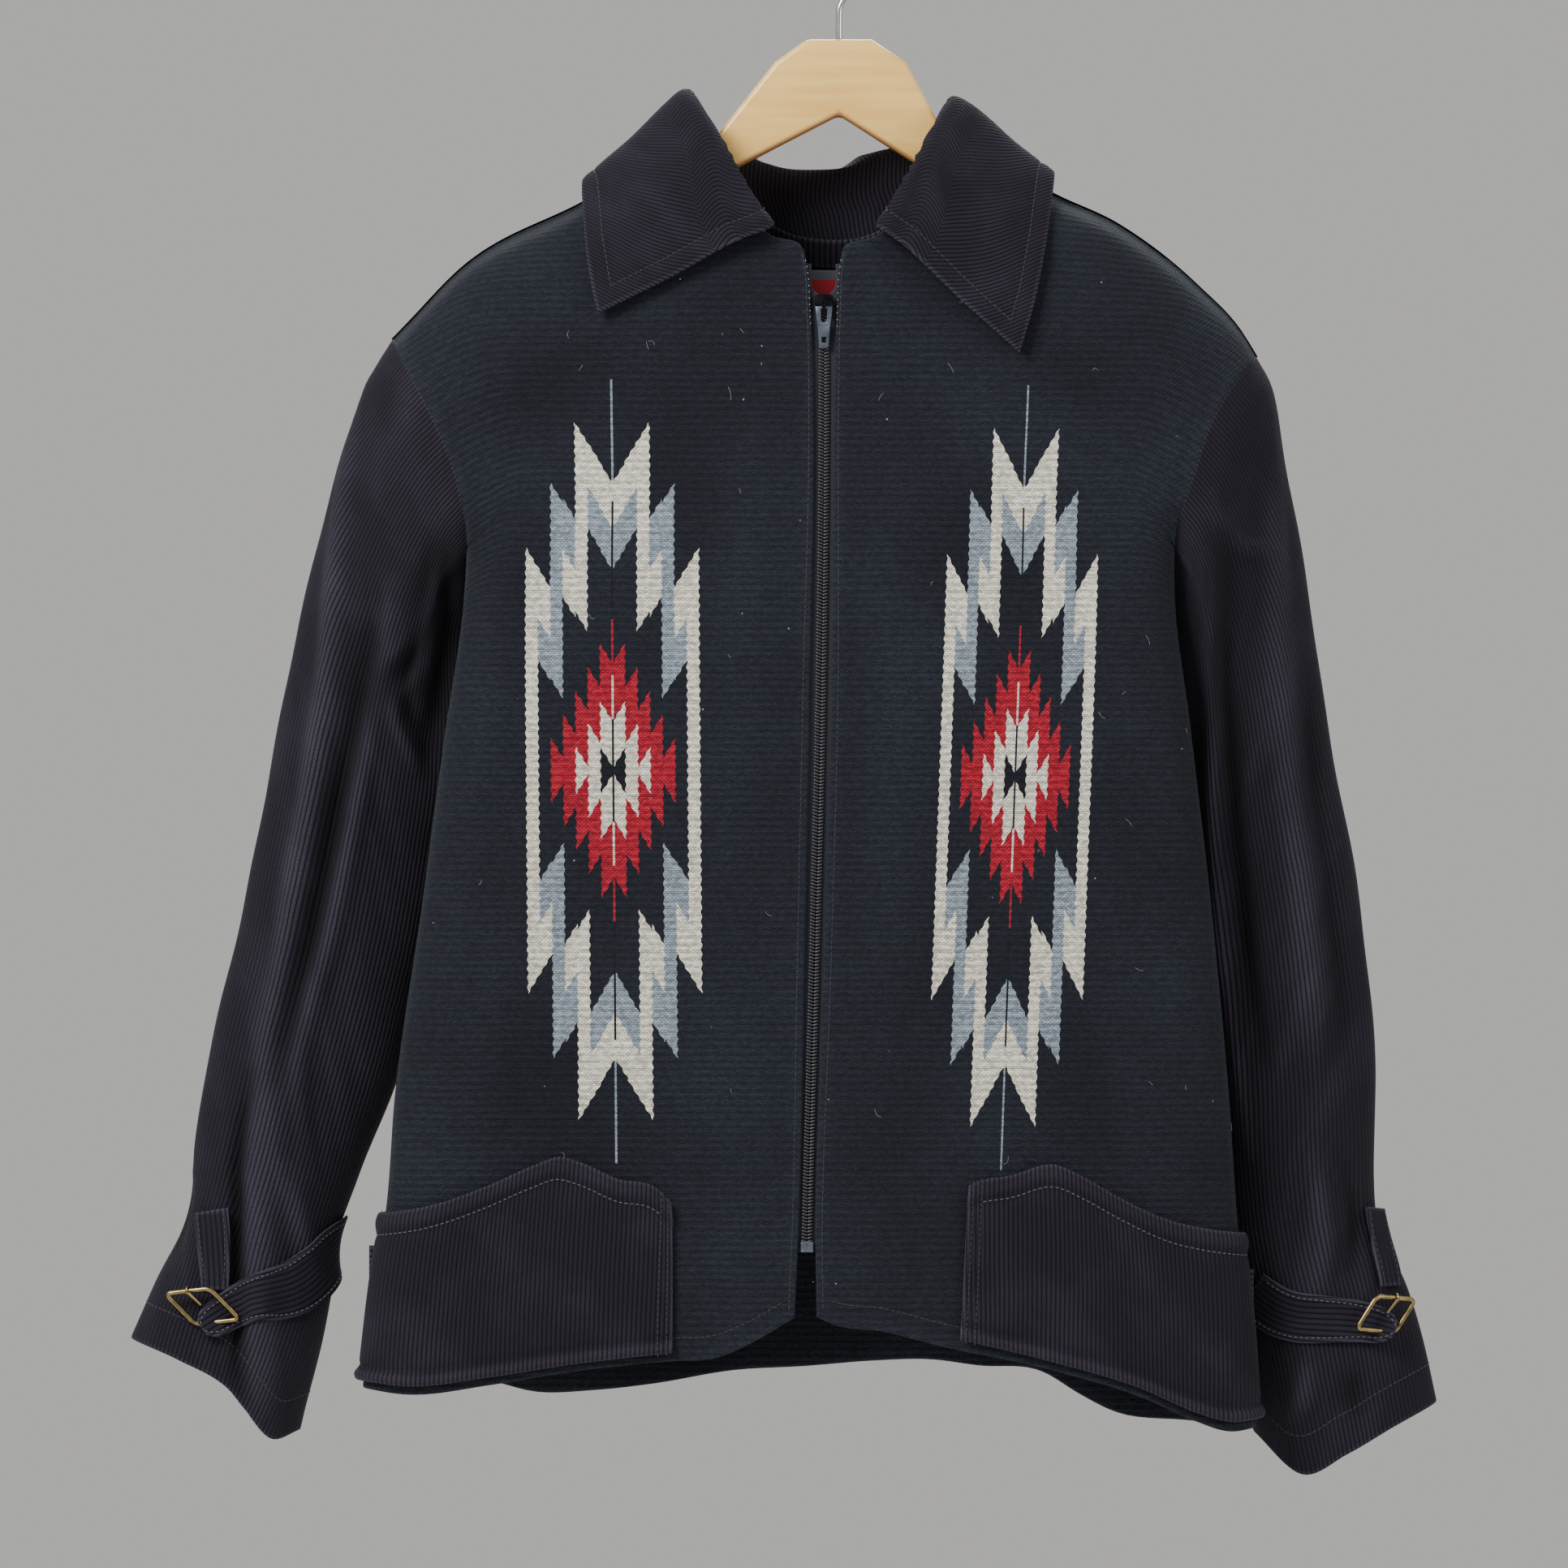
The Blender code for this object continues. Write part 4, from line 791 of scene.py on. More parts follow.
# ---------------------------------------------------------------- sleeves
# Corduroy tubes with lengthwise wales, sewn into the armholes and hanging slightly forward. Their cuffs are
# turned up once and stitched. The cloth is creased by wear at the armhole, the elbow and the cuff.

CORDUROY = 2.0
SLEEVE_STEP = 3.0
SLEEVE_WAVES = 0.8
SLEEVE_WAVE_PITCH = 1.6
ARMHOLE_FADE = 26
SLEEVE_COLUMNS = 108
# Sections from the armhole to the cuff: outer out, outer down, inner out, inner down, middle y, half depth
SLEEVES = {
    "right": (
        (249, 237, 195, 420, 0, 46), (263.5, 262, 199.5, 429, 4, 44), (282.6, 320, 203, 447, 8, 38),
        (299.9, 390, 207, 477, 13, 33), (315, 465, 215, 522, 16, 31), (334.4, 558.5, 228, 590, 18, 30),
        (353, 645, 249, 655, 18, 28), (361.8, 702, 268, 702.5, 17, 26), (370, 735, 280, 736.7, 16, 26),
        (383, 765, 283, 770, 15, 27), (395.6, 793, 300, 845, 14, 28),
    ),
    "left": (
        (233, 247, 172, 420, 0, 46), (243.5, 270, 177.5, 432, 4, 44), (252, 320, 180.5, 452, 8, 38),
        (263.5, 390, 184, 483, 13, 33), (275, 465, 191, 528, 16, 31), (291.5, 558.5, 200, 595, 18, 30),
        (299.3, 640, 206, 655, 18, 28), (298, 702.5, 212, 705, 17, 26), (303, 735, 216, 745, 16, 26),
        (317.7, 765, 221, 785, 15, 27), (333.9, 829, 231, 844, 14, 28),
    ),
}
# share of the way across the cuff, drop of its front edge below the straight line
CUFF_DROPS = {
    "right": ((0, 0), (0.3, -4), (0.6, -3), (0.84, 12), (1, 0)),
    "left": ((0, 0), (0.25, 9), (0.5, 20), (0.75, 28), (1, 2)),
}
CUFF_BACK_LIFT = 6.0
OFF_ARMHOLE = (-1.0, 0.0, -0.3)
ARMHOLE_SHARES = (1.0, 0.7, 0.28)
# half width, height, then x, down places
SLEEVE_CREASES = {
    "right": (
        (8, 5.0, (-262, 262), (-270, 300), (-288, 455), (-308, 580), (-328, 703)),
        (6, 5.0, (-246, 375), (-268, 494), (-281, 559), (-301, 636), (-294, 703)),
        (7, -6.5, (-258, 385), (-278, 494), (-294, 570), (-312, 650)),
        (5, -4.5, (-226, 345), (-232, 392), (-240, 436), (-224, 474)),
        (5, 3.4, (-231, 420), (-246, 446), (-232, 480)),
        (5, 3.0, (-224, 372), (-236, 400), (-252, 420)),
        (7, -5.5, (-212, 345), (-219, 410), (-228, 480)),
        (9, 6.0, (-310, 640), (-318, 690), (-322, 735), (-320, 780), (-321, 815), (-318, 842)),
        (4, -6.0, (-328, 650), (-333, 695), (-335, 740), (-333, 780), (-334, 812), (-331, 836)),
        (7, 3.0, (-312, 690), (-300, 730), (-292, 752)),
        (8, -3.0, (-362, 700), (-368, 730), (-372, 752)),
    ),
    "left": (
        (9, 3.6, (240, 280), (240, 360), (250, 480), (262, 600), (268, 690)),
        (5, 4.2, (203, 365), (207, 480), (212, 580), (228, 690)),
        (6, -4.5, (214, 330), (217, 440), (224, 560), (240, 660)),
        (7, -3.0, (258, 420), (270, 520), (282, 640)),
        (6, 3.2, (262, 690), (270, 735), (262, 770)),
        (6, -3.4, (280, 690), (288, 730), (282, 765)),
        (5, 2.6, (206, 330), (222, 352), (240, 356)),
        (6, 3.0, (262, 806), (258, 836)),
        (7, -3.0, (286, 812), (284, 838)),
    ),
}
SLEEVE_BACK_CREASES = {
    "right": (
        (9, 3.0, (-262, 300), (-282, 440), (-300, 560)), (7, -3.0, (-236, 380), (-258, 480), (-272, 590)),
        (7, 2.6, (-250, 560), (-290, 600), (-320, 590)), (7, -2.4, (-262, 640), (-298, 660), (-336, 648)),
    ),
    "left": (
        (9, 3.0, (240, 300), (248, 440), (262, 560)), (7, -3.0, (212, 380), (222, 480), (236, 590)),
        (7, 2.6, (222, 560), (250, 598), (280, 590)), (7, -2.4, (222, 640), (256, 662), (290, 650)),
    ),
}
FOLD_DEPTH = 1.25
SLEEVE_FLAT = (0.44, 0.62)
SLEEVE_AREA = {"right": 0.155, "left": 0.143}
WALE_PITCH = 2.6
AUBERGINE = (0.0085, 0.0068, 0.0118)
AUBERGINE_WORN_AND_HIGHLIGHT = (0.036, 0.031, 0.047)


def armhole(side, angle):
    """The armhole on the body: 0 at the shoulder tip, 90 in front, 180 at the underarm, 270 behind."""
    tip = side["edge"][0][0]
    down = tip + (UNDERARM - tip) * (1 - math.cos(math.radians(angle))) / 2
    if angle % 360 in (0, 180):
        return float(back_edge(side, down)), 0.0, down
    if angle % 360 > 180:
        out = float(back_edge(side, down))
        return out, float(back_y(side, out, down)), down
    share = wrap_share(down)
    if share > 0:
        return (*(float(v) for v in side_wrap(side, share, down)), down)
    out = float(read(side["edge"], down))
    return out, float(front_y(side, out, down)), down


def sleeve_points(side, numbers, angles):
    """Points of the sleeve as (out, y, down), at places along its sections and angles round it."""
    rows = SLEEVES[side["name"]]
    at_armhole = np.array([armhole(side, a) for a in angles]) + np.array(OFF_ARMHOLE)
    across = (1 - np.cos(np.radians(angles))) / 2
    turn = np.sin(np.radians(angles))
    sections = []
    for number, (outer_out, outer_down, inner_out, inner_down, middle, half) in enumerate(rows):
        out = outer_out + across * (inner_out - outer_out)
        down = outer_down + across * (inner_down - outer_down)
        near_cuff = max(0.0, 1 - (len(rows) - 1 - number) / 2)
        drop = np.where(turn > 0, read(CUFF_DROPS[side["name"]], across), CUFF_BACK_LIFT * turn)
        section = np.stack([out, middle - half * turn, down + near_cuff * drop], axis=-1)
        still = ARMHOLE_SHARES[number] if number < len(ARMHOLE_SHARES) else 0.0
        first = rows[0]
        bow = at_armhole[:, [0, 2]] - np.stack(
            [first[0] + across * (first[2] - first[0]), first[1] + across * (first[3] - first[1])], axis=-1
        )
        section[:, [0, 2]] += still * bow
        section[:, 1] = still * at_armhole[:, 1] + (1 - still) * section[:, 1]
        sections.append(at_armhole if number == 0 else section)
    return smooth(np.arange(len(rows)), np.array(sections), numbers)


def corduroy(name, pitch=WALE_PITCH, worn=1.0):
    """Corduroy with its wales along the cloth map's second coordinate: pile ridges of a dark cloth, with a
    painted sheen on their tops and painted shade in the grooves between them.
    """
    made, tree, shader = new_finish(
        name, roughness=0.9, sheen_weight=0.07, sheen_roughness=0.3, sheen_tint=(0.7, 0.68, 0.85),
        specular_ior_level=0.2,
    )
    u, v, place = cloth_place(tree)
    wander = calc(tree, "MULTIPLY", calc(tree, "SUBTRACT", noise(tree, place, 34.0, 3.0), 0.5), 0.0011)
    turn = calc(tree, "FRACT", calc(tree, "DIVIDE", calc(tree, "ADD", u, wander), pitch * MM))
    off = calc(tree, "MULTIPLY_ADD", turn, 2.0, -1.0)
    ridge = calc(tree, "SQRT", calc(tree, "SUBTRACT", 1.0, calc(tree, "MULTIPLY", off, off)))
    tufts = noise(tree, place, 1500.0, 2.0)
    patches = noise(tree, place, 22.0, 4.0)
    edge = node(tree, "ShaderNodeAttribute", attribute_name="edge").outputs["Fac"]
    wear_and_crease_highlight = calc(tree, "ADD", between(tree, patches, 0.45, 0.8, 0.0, 0.35),
                between(tree, edge, 0.3, 2.6, 0.5 * worn, 0.0))
    crest = node(tree, "ShaderNodeAttribute", attribute_name="crest").outputs["Fac"]
    # Crease ridges are paler: worn pile there and a painted highlight.
    wear_and_crease_highlight = calc(tree, "ADD", wear_and_crease_highlight, between(tree, crest, 0.4, 5.0, 0.0, 0.55))
    wear_and_crease_highlight = calc(tree, "MULTIPLY", wear_and_crease_highlight, between(tree, tufts, 0.3, 0.7, 0.55, 1.2))
    pile = blend(tree, wear_and_crease_highlight, AUBERGINE, AUBERGINE_WORN_AND_HIGHLIGHT)
    # Painted shade in the grooves between the wales and a painted sheen on their tops, varied by the tufts.
    shade = between(tree, ridge, 0.3, 0.95, 0.1, 1.5)
    shade = calc(tree, "MULTIPLY", shade, between(tree, tufts, 0.25, 0.75, 0.7, 1.3))
    # Painted shade in the troughs of the creases.
    shade = calc(tree, "MULTIPLY", shade, between(tree, crest, -4.5, -0.3, 0.35, 1.0))
    dressed(tree, shader, shaded(tree, pile, shade), calc(tree, "MULTIPLY_ADD", tufts, 0.22, ridge), 1.0, 0.8)
    return made


def tube_map(grid, front_column):
    """Places on the flat cloth of a tube, cut open at its first column: across from its front, and down."""
    ring = np.concatenate([grid, grid[:, :1]], axis=1)
    across = lengths(ring, 1)
    down = lengths(ring, 0)
    return np.stack([across - across[:, front_column:front_column + 1], -down], axis=-1) * MM


sleeve_cloth = corduroy("sleeve_corduroy")
sleeve_faces, sleeve_folds = {}, {}
for side in SIDES:
    angles = np.linspace(-180, 180, SLEEVE_COLUMNS, endpoint=False)[:: int(side["sign"])]
    fine = sleeve_points(side, np.linspace(0, 10, 401), np.array([90.0]))[:, 0]
    reach = lengths(fine)
    numbers = np.interp(shares_of(reach[-1], SLEEVE_STEP) * reach[-1], reach, np.linspace(0, 10, 401))
    grid = in_place(sleeve_points(side, numbers, angles), side["sign"])
    cloth_map = tube_map(grid, int(np.argmin(np.abs(angles - 90))))
    lines = crease_lines(grid, SLEEVE_CREASES[side["name"]])
    lines += crease_lines(grid, SLEEVE_BACK_CREASES[side["name"]], 1.0)
    sleeve_folds[side["name"]] = lines
    from_seam = eased(lengths(grid, 0) / ARMHOLE_FADE)
    waves = SLEEVE_WAVES * undulate(grid * SLEEVE_WAVE_PITCH)
    pushed = (FOLD_DEPTH * rise(grid, lines) + waves) * from_seam
    grid = grid + grid_normals(grid, True) * pushed[..., None]
    sleeve_faces[side["name"]] = grid
    name = side["name"] + "_sleeve"
    sleeve = shell(name + "_tube", grid, CORDUROY, cloth_map, sleeve_cloth, closed=True, crest=pushed)
    area = SLEEVE_AREA[side["name"]]
    hung_cloth(sleeve, "corduroy", name, SLEEVE_FLAT, area, rests_on=["hanger"])

# ---------------------------------------------------------------- cuff straps, their buckles and tabs
# Each cuff has a pointed strap of doubled corduroy sewn into the underarm seam, and a small tab that holds
# an open brass buckle with one prong. The straps lie fastened, with their ends over the buckle's lower bar.

BAND_LIFT = 0.9
BAND_STEP = 2.0
# How much of its width a strap keeps at its very tip
TIP_WIDTH = 0.12
# A strap's end rises over the buckle's lower bar, highest this far from its tip
END_RISE_AT = 3
END_RISE_HALF = 9.0
# angle round the sleeve, section number, half width
BANDS = {
    "right": {
        "cuff_strap": (
            (192, 8.05, 16), (165, 8.3, 16.5), (140, 8.62, 16.5), (116, 8.9, 15.5), (98, 9.12, 12.5),
            (86, 9.32, 10.5), (75, 9.54, 9.5),
        ),
        "buckle_tab": ((52, 7.55, 10.5), (60, 8.0, 10), (67, 8.45, 9), (75, 9.03, 7.5)),
    },
    "left": {
        "cuff_strap": (
            (138, 8.53, 13.5), (126, 8.65, 14), (110, 8.79, 14), (95, 8.91, 13.5), (78, 9.03, 12.5),
            (62, 9.16, 11), (48, 9.3, 9.5),
        ),
        "buckle_tab": ((18, 7.5, 10), (22, 8.0, 9.5), (29, 8.42, 8.5), (37, 8.9, 7.5)),
    },
}
BAND_CUTS = {
    "right": {"cuff_strap": ((0.033, 0.14), 0.0037), "buckle_tab": ((0.021, 0.055), 0.00105)},
    "left": {"cuff_strap": ((0.031, 0.085), 0.0023), "buckle_tab": ((0.021, 0.05), 0.00092)},
}
# Buckle: middle x, down and y, turn in the picture plane and turn about the upright, in degrees
BUCKLES = {"right": (-353.5, 774.5, -18.0, -7.0, -10.0), "left": (304.5, 779.0, -14.5, 6.0, 30.0)}
BUCKLE_LEANS = {"right": 14.0, "left": 9.0}
STRAP_END_RISES = {"right": 4.0, "left": 6.0}
BUCKLE_TILT = 0.2
BUCKLE_WIDTH = 25.5
BUCKLE_HEIGHT = 19.0
BUCKLE_CORNER = 3.2
WIRE = 2.6
PRONG_WIRE = 1.7
# Half height and half depth of the prong's ring round the bar, and how far the prong reaches down and back
RING = (1.9, 2.2)
PRONG_REACH = (0.9, 0.1)
PRONG_BACK = 4.2
BRASS = (0.36, 0.27, 0.115)


def sleeve_band(side, rows, lift, round_end):
    """A band on the sleeve, lifted off it."""
    table = np.array(rows, float)
    keys = np.arange(len(rows))
    at = np.linspace(0, len(rows) - 1, 161)
    fine = smooth(keys, table, at)

    def points(more_angle, more_number):
        places = [(np.array([n + more_number]), np.array([a + more_angle])) for a, n, _ in fine]
        return np.array([sleeve_points(side, number, angle)[0, 0] for number, angle in places])

    centres = points(0, 0)
    normals = np.cross(points(4, 0) - centres, points(0, 0.1) - centres)
    normals /= np.linalg.norm(normals, axis=1, keepdims=True)
    normals *= np.where(normals[len(fine) // 2, 1] > 0, -1, 1)
    ahead = np.gradient(centres, axis=0)
    sideways = np.cross(normals, ahead)
    sideways /= np.linalg.norm(sideways, axis=1, keepdims=True)
    reach = lengths(centres)
    from_end = np.clip((reach[-1] - reach) / fine[:, 2], 0, 1)
    halves = fine[:, 2] * (TIP_WIDTH + (1 - TIP_WIDTH) * rounded(from_end) if round_end else 1.0)
    shares = shares_of(2 * fine[:, 2].mean(), BAND_STEP) * 2 - 1
    grid = np.array([centres + normals * lift + sideways * (halves * s)[:, None] for s in shares])
    grid = in_place(grid.transpose(1, 0, 2), side["sign"])
    keep = shares_of(reach[-1], BAND_STEP) * reach[-1]
    columns = [[np.interp(keep, reach, grid[:, c, k]) for k in range(3)] for c in range(grid.shape[1])]
    return np.array(columns).transpose(2, 0, 1)


def flat_map(grid, u_first=True):
    """Places on the flat cloth, along and across a small piece, from its middle."""
    across = lengths(grid, 1)
    across = across - across[:, -1:] / 2
    down = lengths(grid, 0)
    return np.stack([across, down] if u_first else [down, across], axis=-1) * MM


def wire(route, radius, sides=14, loop=True):
    """Points and faces of a round wire along a route that lies in one plane, in millimetres."""
    route = np.array(route, float)
    count = len(route)
    ahead = np.roll(route, -1, axis=0) - np.roll(route, 1, axis=0)
    if not loop:
        ahead[0], ahead[-1] = route[1] - route[0], route[-1] - route[-2]
    ahead /= np.linalg.norm(ahead, axis=1, keepdims=True)
    spread = np.linalg.svd(route - route.mean(axis=0))[2]
    aside = np.cross(ahead, spread[2])
    turns = np.arange(sides) * 2 * math.pi / sides
    radius = np.broadcast_to(np.array(radius, float), count)[None, :, None]
    ring = np.cos(turns)[:, None, None] * aside + np.sin(turns)[:, None, None] * spread[2]
    points = (route + radius * ring).transpose(1, 0, 2).reshape(-1, 3)
    faces = []
    for k in range(count if loop else count - 1):
        start, after = k * sides, (k + 1) % count * sides
        for s in range(sides):
            faces.append((start + s, after + s, after + (s + 1) % sides, start + (s + 1) % sides))
    if not loop:
        faces += [tuple(range(sides)), tuple(range(count * sides - 1, (count - 1) * sides - 1, -1))]
    return points, faces


def joined(name, pieces, finish, smooth_faces=True):
    """One mesh object from several lots of points and faces, each turned to face outwards."""
    mesh = bpy.data.meshes.new(name)
    points, faces = [], []
    for own_points, own_faces in pieces:
        volume = 0.0
        for f in own_faces:
            for k in range(1, len(f) - 1):
                volume += np.linalg.det(own_points[[f[0], f[k], f[k + 1]]])
        start = sum(len(p) for p in points)
        step = 1 if volume > 0 else -1
        faces += [tuple(int(v) + start for v in f[::step]) for f in own_faces]
        points.append(own_points)
    mesh.from_pydata((np.concatenate(points) * MM).tolist(), [], faces)
    if smooth_faces:
        mesh.shade_smooth()
        mesh.set_sharp_from_angle(angle=math.radians(50))
    mesh.materials.append(finish)
    made = bpy.data.objects.new(name, mesh)
    bpy.context.scene.collection.objects.link(made)
    return made


def turned_points(points, turn, about):
    """Points turned by one angle in the picture plane, then by another about the upright axis."""
    a, b = math.radians(turn), math.radians(about)
    in_plane = np.array([[math.cos(a), 0, math.sin(a)], [0, 1, 0], [-math.sin(a), 0, math.cos(a)]])
    upright = np.array([[math.cos(b), -math.sin(b), 0], [math.sin(b), math.cos(b), 0], [0, 0, 1]])
    return np.array(points, float) @ in_plane.T @ upright.T


def metal(name, colour, roughness, wear_colour, scale=220.0):
    """A worn metal: two tones in soft patches and a faintly uneven surface."""
    made, tree, shader = new_finish(name, metallic=1.0, roughness=roughness)
    place = node(tree, "ShaderNodeTexCoord").outputs["Object"]
    patches = between(tree, noise(tree, place, scale, 4.0), 0.4, 0.65)
    fine = noise(tree, place, scale * 6, 2.0)
    dressed(tree, shader, blend(tree, patches, colour, wear_colour), fine, 0.25, 0.1)
    return made


band_cloth = corduroy("band_corduroy", pitch=3.1, worn=1.6)
brass = metal("antique_brass", BRASS, 0.34, (0.2, 0.15, 0.06))
band_faces = {}
for side in SIDES:
    lines = sleeve_folds[side["name"]]
    for piece, rows in BANDS[side["name"]].items():
        grid = sleeve_band(side, rows, BAND_LIFT + CORDUROY, piece == "cuff_strap")
        grid = facing_out(grid, (0, -1, 0))
        pushed = FOLD_DEPTH * np.maximum(rise(grid, lines), -0.4)
        if piece == "cuff_strap":
            left_to_go = (1 - np.linspace(0, 1, len(grid))) * lengths(grid).max()
            bump = np.exp(-((left_to_go - END_RISE_AT) / END_RISE_HALF) ** 2)
            pushed = pushed + (STRAP_END_RISES[side["name"]] * bump)[:, None]
        grid = grid + grid_normals(grid) * pushed[..., None]
        band_faces[side["name"] + piece] = grid
        name = side["name"] + "_" + piece
        band = shell(name + "_band", grid, CORDUROY, flat_map(grid), band_cloth)
        hung_cloth(band, "corduroy", name, *BAND_CUTS[side["name"]][piece], held="laid",
                   rests_on=[side["name"] + "_sleeve_tube"])

    x, down, y, turn, about = BUCKLES[side["name"]]
    place = np.array([x, y, -down])
    half_w, half_h = BUCKLE_WIDTH / 2, BUCKLE_HEIGHT / 2
    lean = BUCKLE_LEANS[side["name"]] / 2 * side["sign"]
    frame_route = []
    for corner, (sx, sz) in enumerate(((1, 1), (-1, 1), (-1, -1), (1, -1))):
        for k in range(9):
            a = math.radians(90 * corner + 11.25 * k)
            height = sz * (half_h - BUCKLE_CORNER) + BUCKLE_CORNER * math.sin(a)
            aside = sx * (half_w - BUCKLE_CORNER) + BUCKLE_CORNER * math.cos(a)
            frame_route.append((aside + lean * height / half_h, BUCKLE_TILT * (half_h - height), height))
    round_bar = np.linspace(0, 2 * math.pi, 24, endpoint=False)
    ring = [(lean, -RING[1] * math.sin(a), RING[0] * math.cos(a) + half_h) for a in round_bar]
    shares = np.linspace(*PRONG_REACH, 8)
    prong = [(lean * s, -RING[1] + PRONG_BACK * (PRONG_REACH[0] - s), half_h * s) for s in shares]
    routes = [turned_points(route, turn, about) + place for route in (frame_route, prong, ring)]
    pieces = [wire(routes[0], WIRE / 2)]
    pieces.append(wire(routes[1], PRONG_WIRE / 2 * np.linspace(1.05, 0.7, 8), 10, False))
    pieces.append(wire(routes[2], PRONG_WIRE / 2, 10))
    name = side["name"] + "_cuff_buckle"
    buckle = joined(name + "_frame", pieces, brass)
    fitted(buckle, "jacket", "brass", name)

# ---------------------------------------------------------------- side tabs
# A short stub of doubled corduroy is sewn into each side seam above the hem, and stands a little proud
# beyond the pocket's side edge.

# down, start inside the front's outline, reach beyond it
SIDE_TABS = {"right": (751.0, 8.8, 5.5), "left": (764.0, 8.8, 5.5)}
SIDE_TAB_HEIGHT = 20.0
SIDE_TAB_STEP = 1.6
SIDE_TAB_CUT = ((0.0145, 0.02), 0.00029)
SIDE_TAB_Y = -8.8
TWO_CORDUROYS = 3.2

for side in SIDES:
    down, root, beyond = SIDE_TABS[side["name"]]
    out = float(read(side["edge"], down))
    outs = out - root + (root + beyond) * shares_of(root + beyond, SIDE_TAB_STEP)
    downs = down + SIDE_TAB_HEIGHT * (shares_of(SIDE_TAB_HEIGHT, SIDE_TAB_STEP) - 0.5)
    grid = np.array([[(side["sign"] * o, SIDE_TAB_Y, -d) for o in outs] for d in downs])
    grid = facing_out(grid, (0, -1, 0))
    name = side["name"] + "_side_tab"
    tab = shell(name + "_stub", grid, TWO_CORDUROYS, flat_map(grid, False), band_cloth)
    hung_cloth(tab, "corduroy", name, *SIDE_TAB_CUT, held="laid", rests_on=[side["name"] + "_front_panel"])

# ---------------------------------------------------------------- pockets
# A corduroy patch pocket lies on the lower part of each front and turns with it round the side. Its opening
# comes to a soft point, and its lower edge is turned in thickly above the hem.

POCKET_LIFT = 1.6
# top and bottom: out, down. inner: how far out the inner edge is, at its top and at its bottom.
POCKETS = {
    "right": {
        "top": (
            (92, 716), (100, 708), (123, 702), (145, 692.6), (155.7, 690), (170.6, 694.8), (196, 706),
            (230, 717.8), (252, 722),
        ),
        "bottom": ((92, 799), (150, 805.5), (191, 812), (238, 817.5), (264, 815)),
        "inner": (92, 92),
    },
    "left": {
        "top": (
            (66, 709), (72.5, 705), (95, 700), (120.6, 694.4), (135, 700.7), (155.7, 712.4), (181.4, 724.5),
            (200.7, 729.5), (221, 733),
        ),
        "bottom": ((66, 791.5), (116.6, 803.5), (168, 819), (196, 831.5), (217, 837.5), (231, 836)),
        "inner": (71, 66.6),
    },
}
POCKET_TURNS = -0.4
POCKET_FLAT = (0.21, 0.13)
POCKET_AREA = {"right": 0.0215, "left": 0.0208}
POCKET_SIZE = (190.0, 105.0)
POCKET_STEP = 2.2
# Soft ridges and grooves: height, distance in from the edge, half width. The lower edge's thick turning, the
# stitched line under the opening with the opening's soft rolled top, and the two stitched lines at the sides
POCKET_FOOT = ((2.2, 3.6, 3.2), (-0.9, 8.6, 1.6))
POCKET_OPENING = ((-0.8, 13, 1.8), (1.3, 5.5, 4.5))
POCKET_SIDES = ((-0.5, 3.4, 1.1), (-0.5, 8.4, 1.1))


def pocket_rows(side):
    shape = POCKETS[side["name"]]
    inner_top, inner_bottom = shape["inner"]
    # Below 0 a column's number is its share of the front's turn round the side.
    columns = np.concatenate([np.linspace(POCKET_TURNS, 0, 14)[:-1], np.linspace(0, 1, 150) ** 1.5])
    shares = shares_of(POCKET_SIZE[0], POCKET_STEP)
    rows = []
    for up in shares_of(POCKET_SIZE[1], POCKET_STEP):
        row = []
        for c in columns:
            across = max(c, 0.0)
            inner = inner_bottom + up * (inner_top - inner_bottom)
            low_out = shape["bottom"][-1][0] * (1 - across) + inner_bottom * across
            high_out = shape["top"][-1][0] * (1 - across) + inner_top * across
            low = float(read(shape["bottom"], low_out))
            down = low + up * (float(read(shape["top"], high_out)) - low)
            out = float(read(side["edge"], down)) * (1 - across) + inner * across
            if c < 0:
                out, y = side_wrap(side, -c, down)
                row.append((float(out), float(y), down))
            else:
                row.append((out, float(front_y(side, out, down)), down))
        rows.append(along(np.array(row), shares))
    return np.array(rows)


def relief(distance, profile):
    """Ridges and grooves across a cloth, from each point's distance to its edge."""
    return sum(height * np.exp(-(((distance - middle) / half) ** 2)) for height, middle, half in profile)


def line_inside(grid, edge, gap, ends):
    """A line inside one edge of a grid (0 first row, 1 last row, 2 first column, 3 last column), as points
    with normals. It stops some way from the corners."""
    faces = np.concatenate([grid, grid_normals(grid)], axis=-1)
    if edge > 1:
        faces = faces.transpose(1, 0, 2)
    if edge % 2:
        faces = faces[::-1]
    reach = lengths(faces[..., :3], 0)
    line = np.array([
        [np.interp(gap, reach[:, c], faces[:, c, k]) for k in range(6)] for c in range(faces.shape[1])
    ])
    run = lengths(line[:, :3])
    return line[(run >= ends) & (run <= run[-1] - ends)]


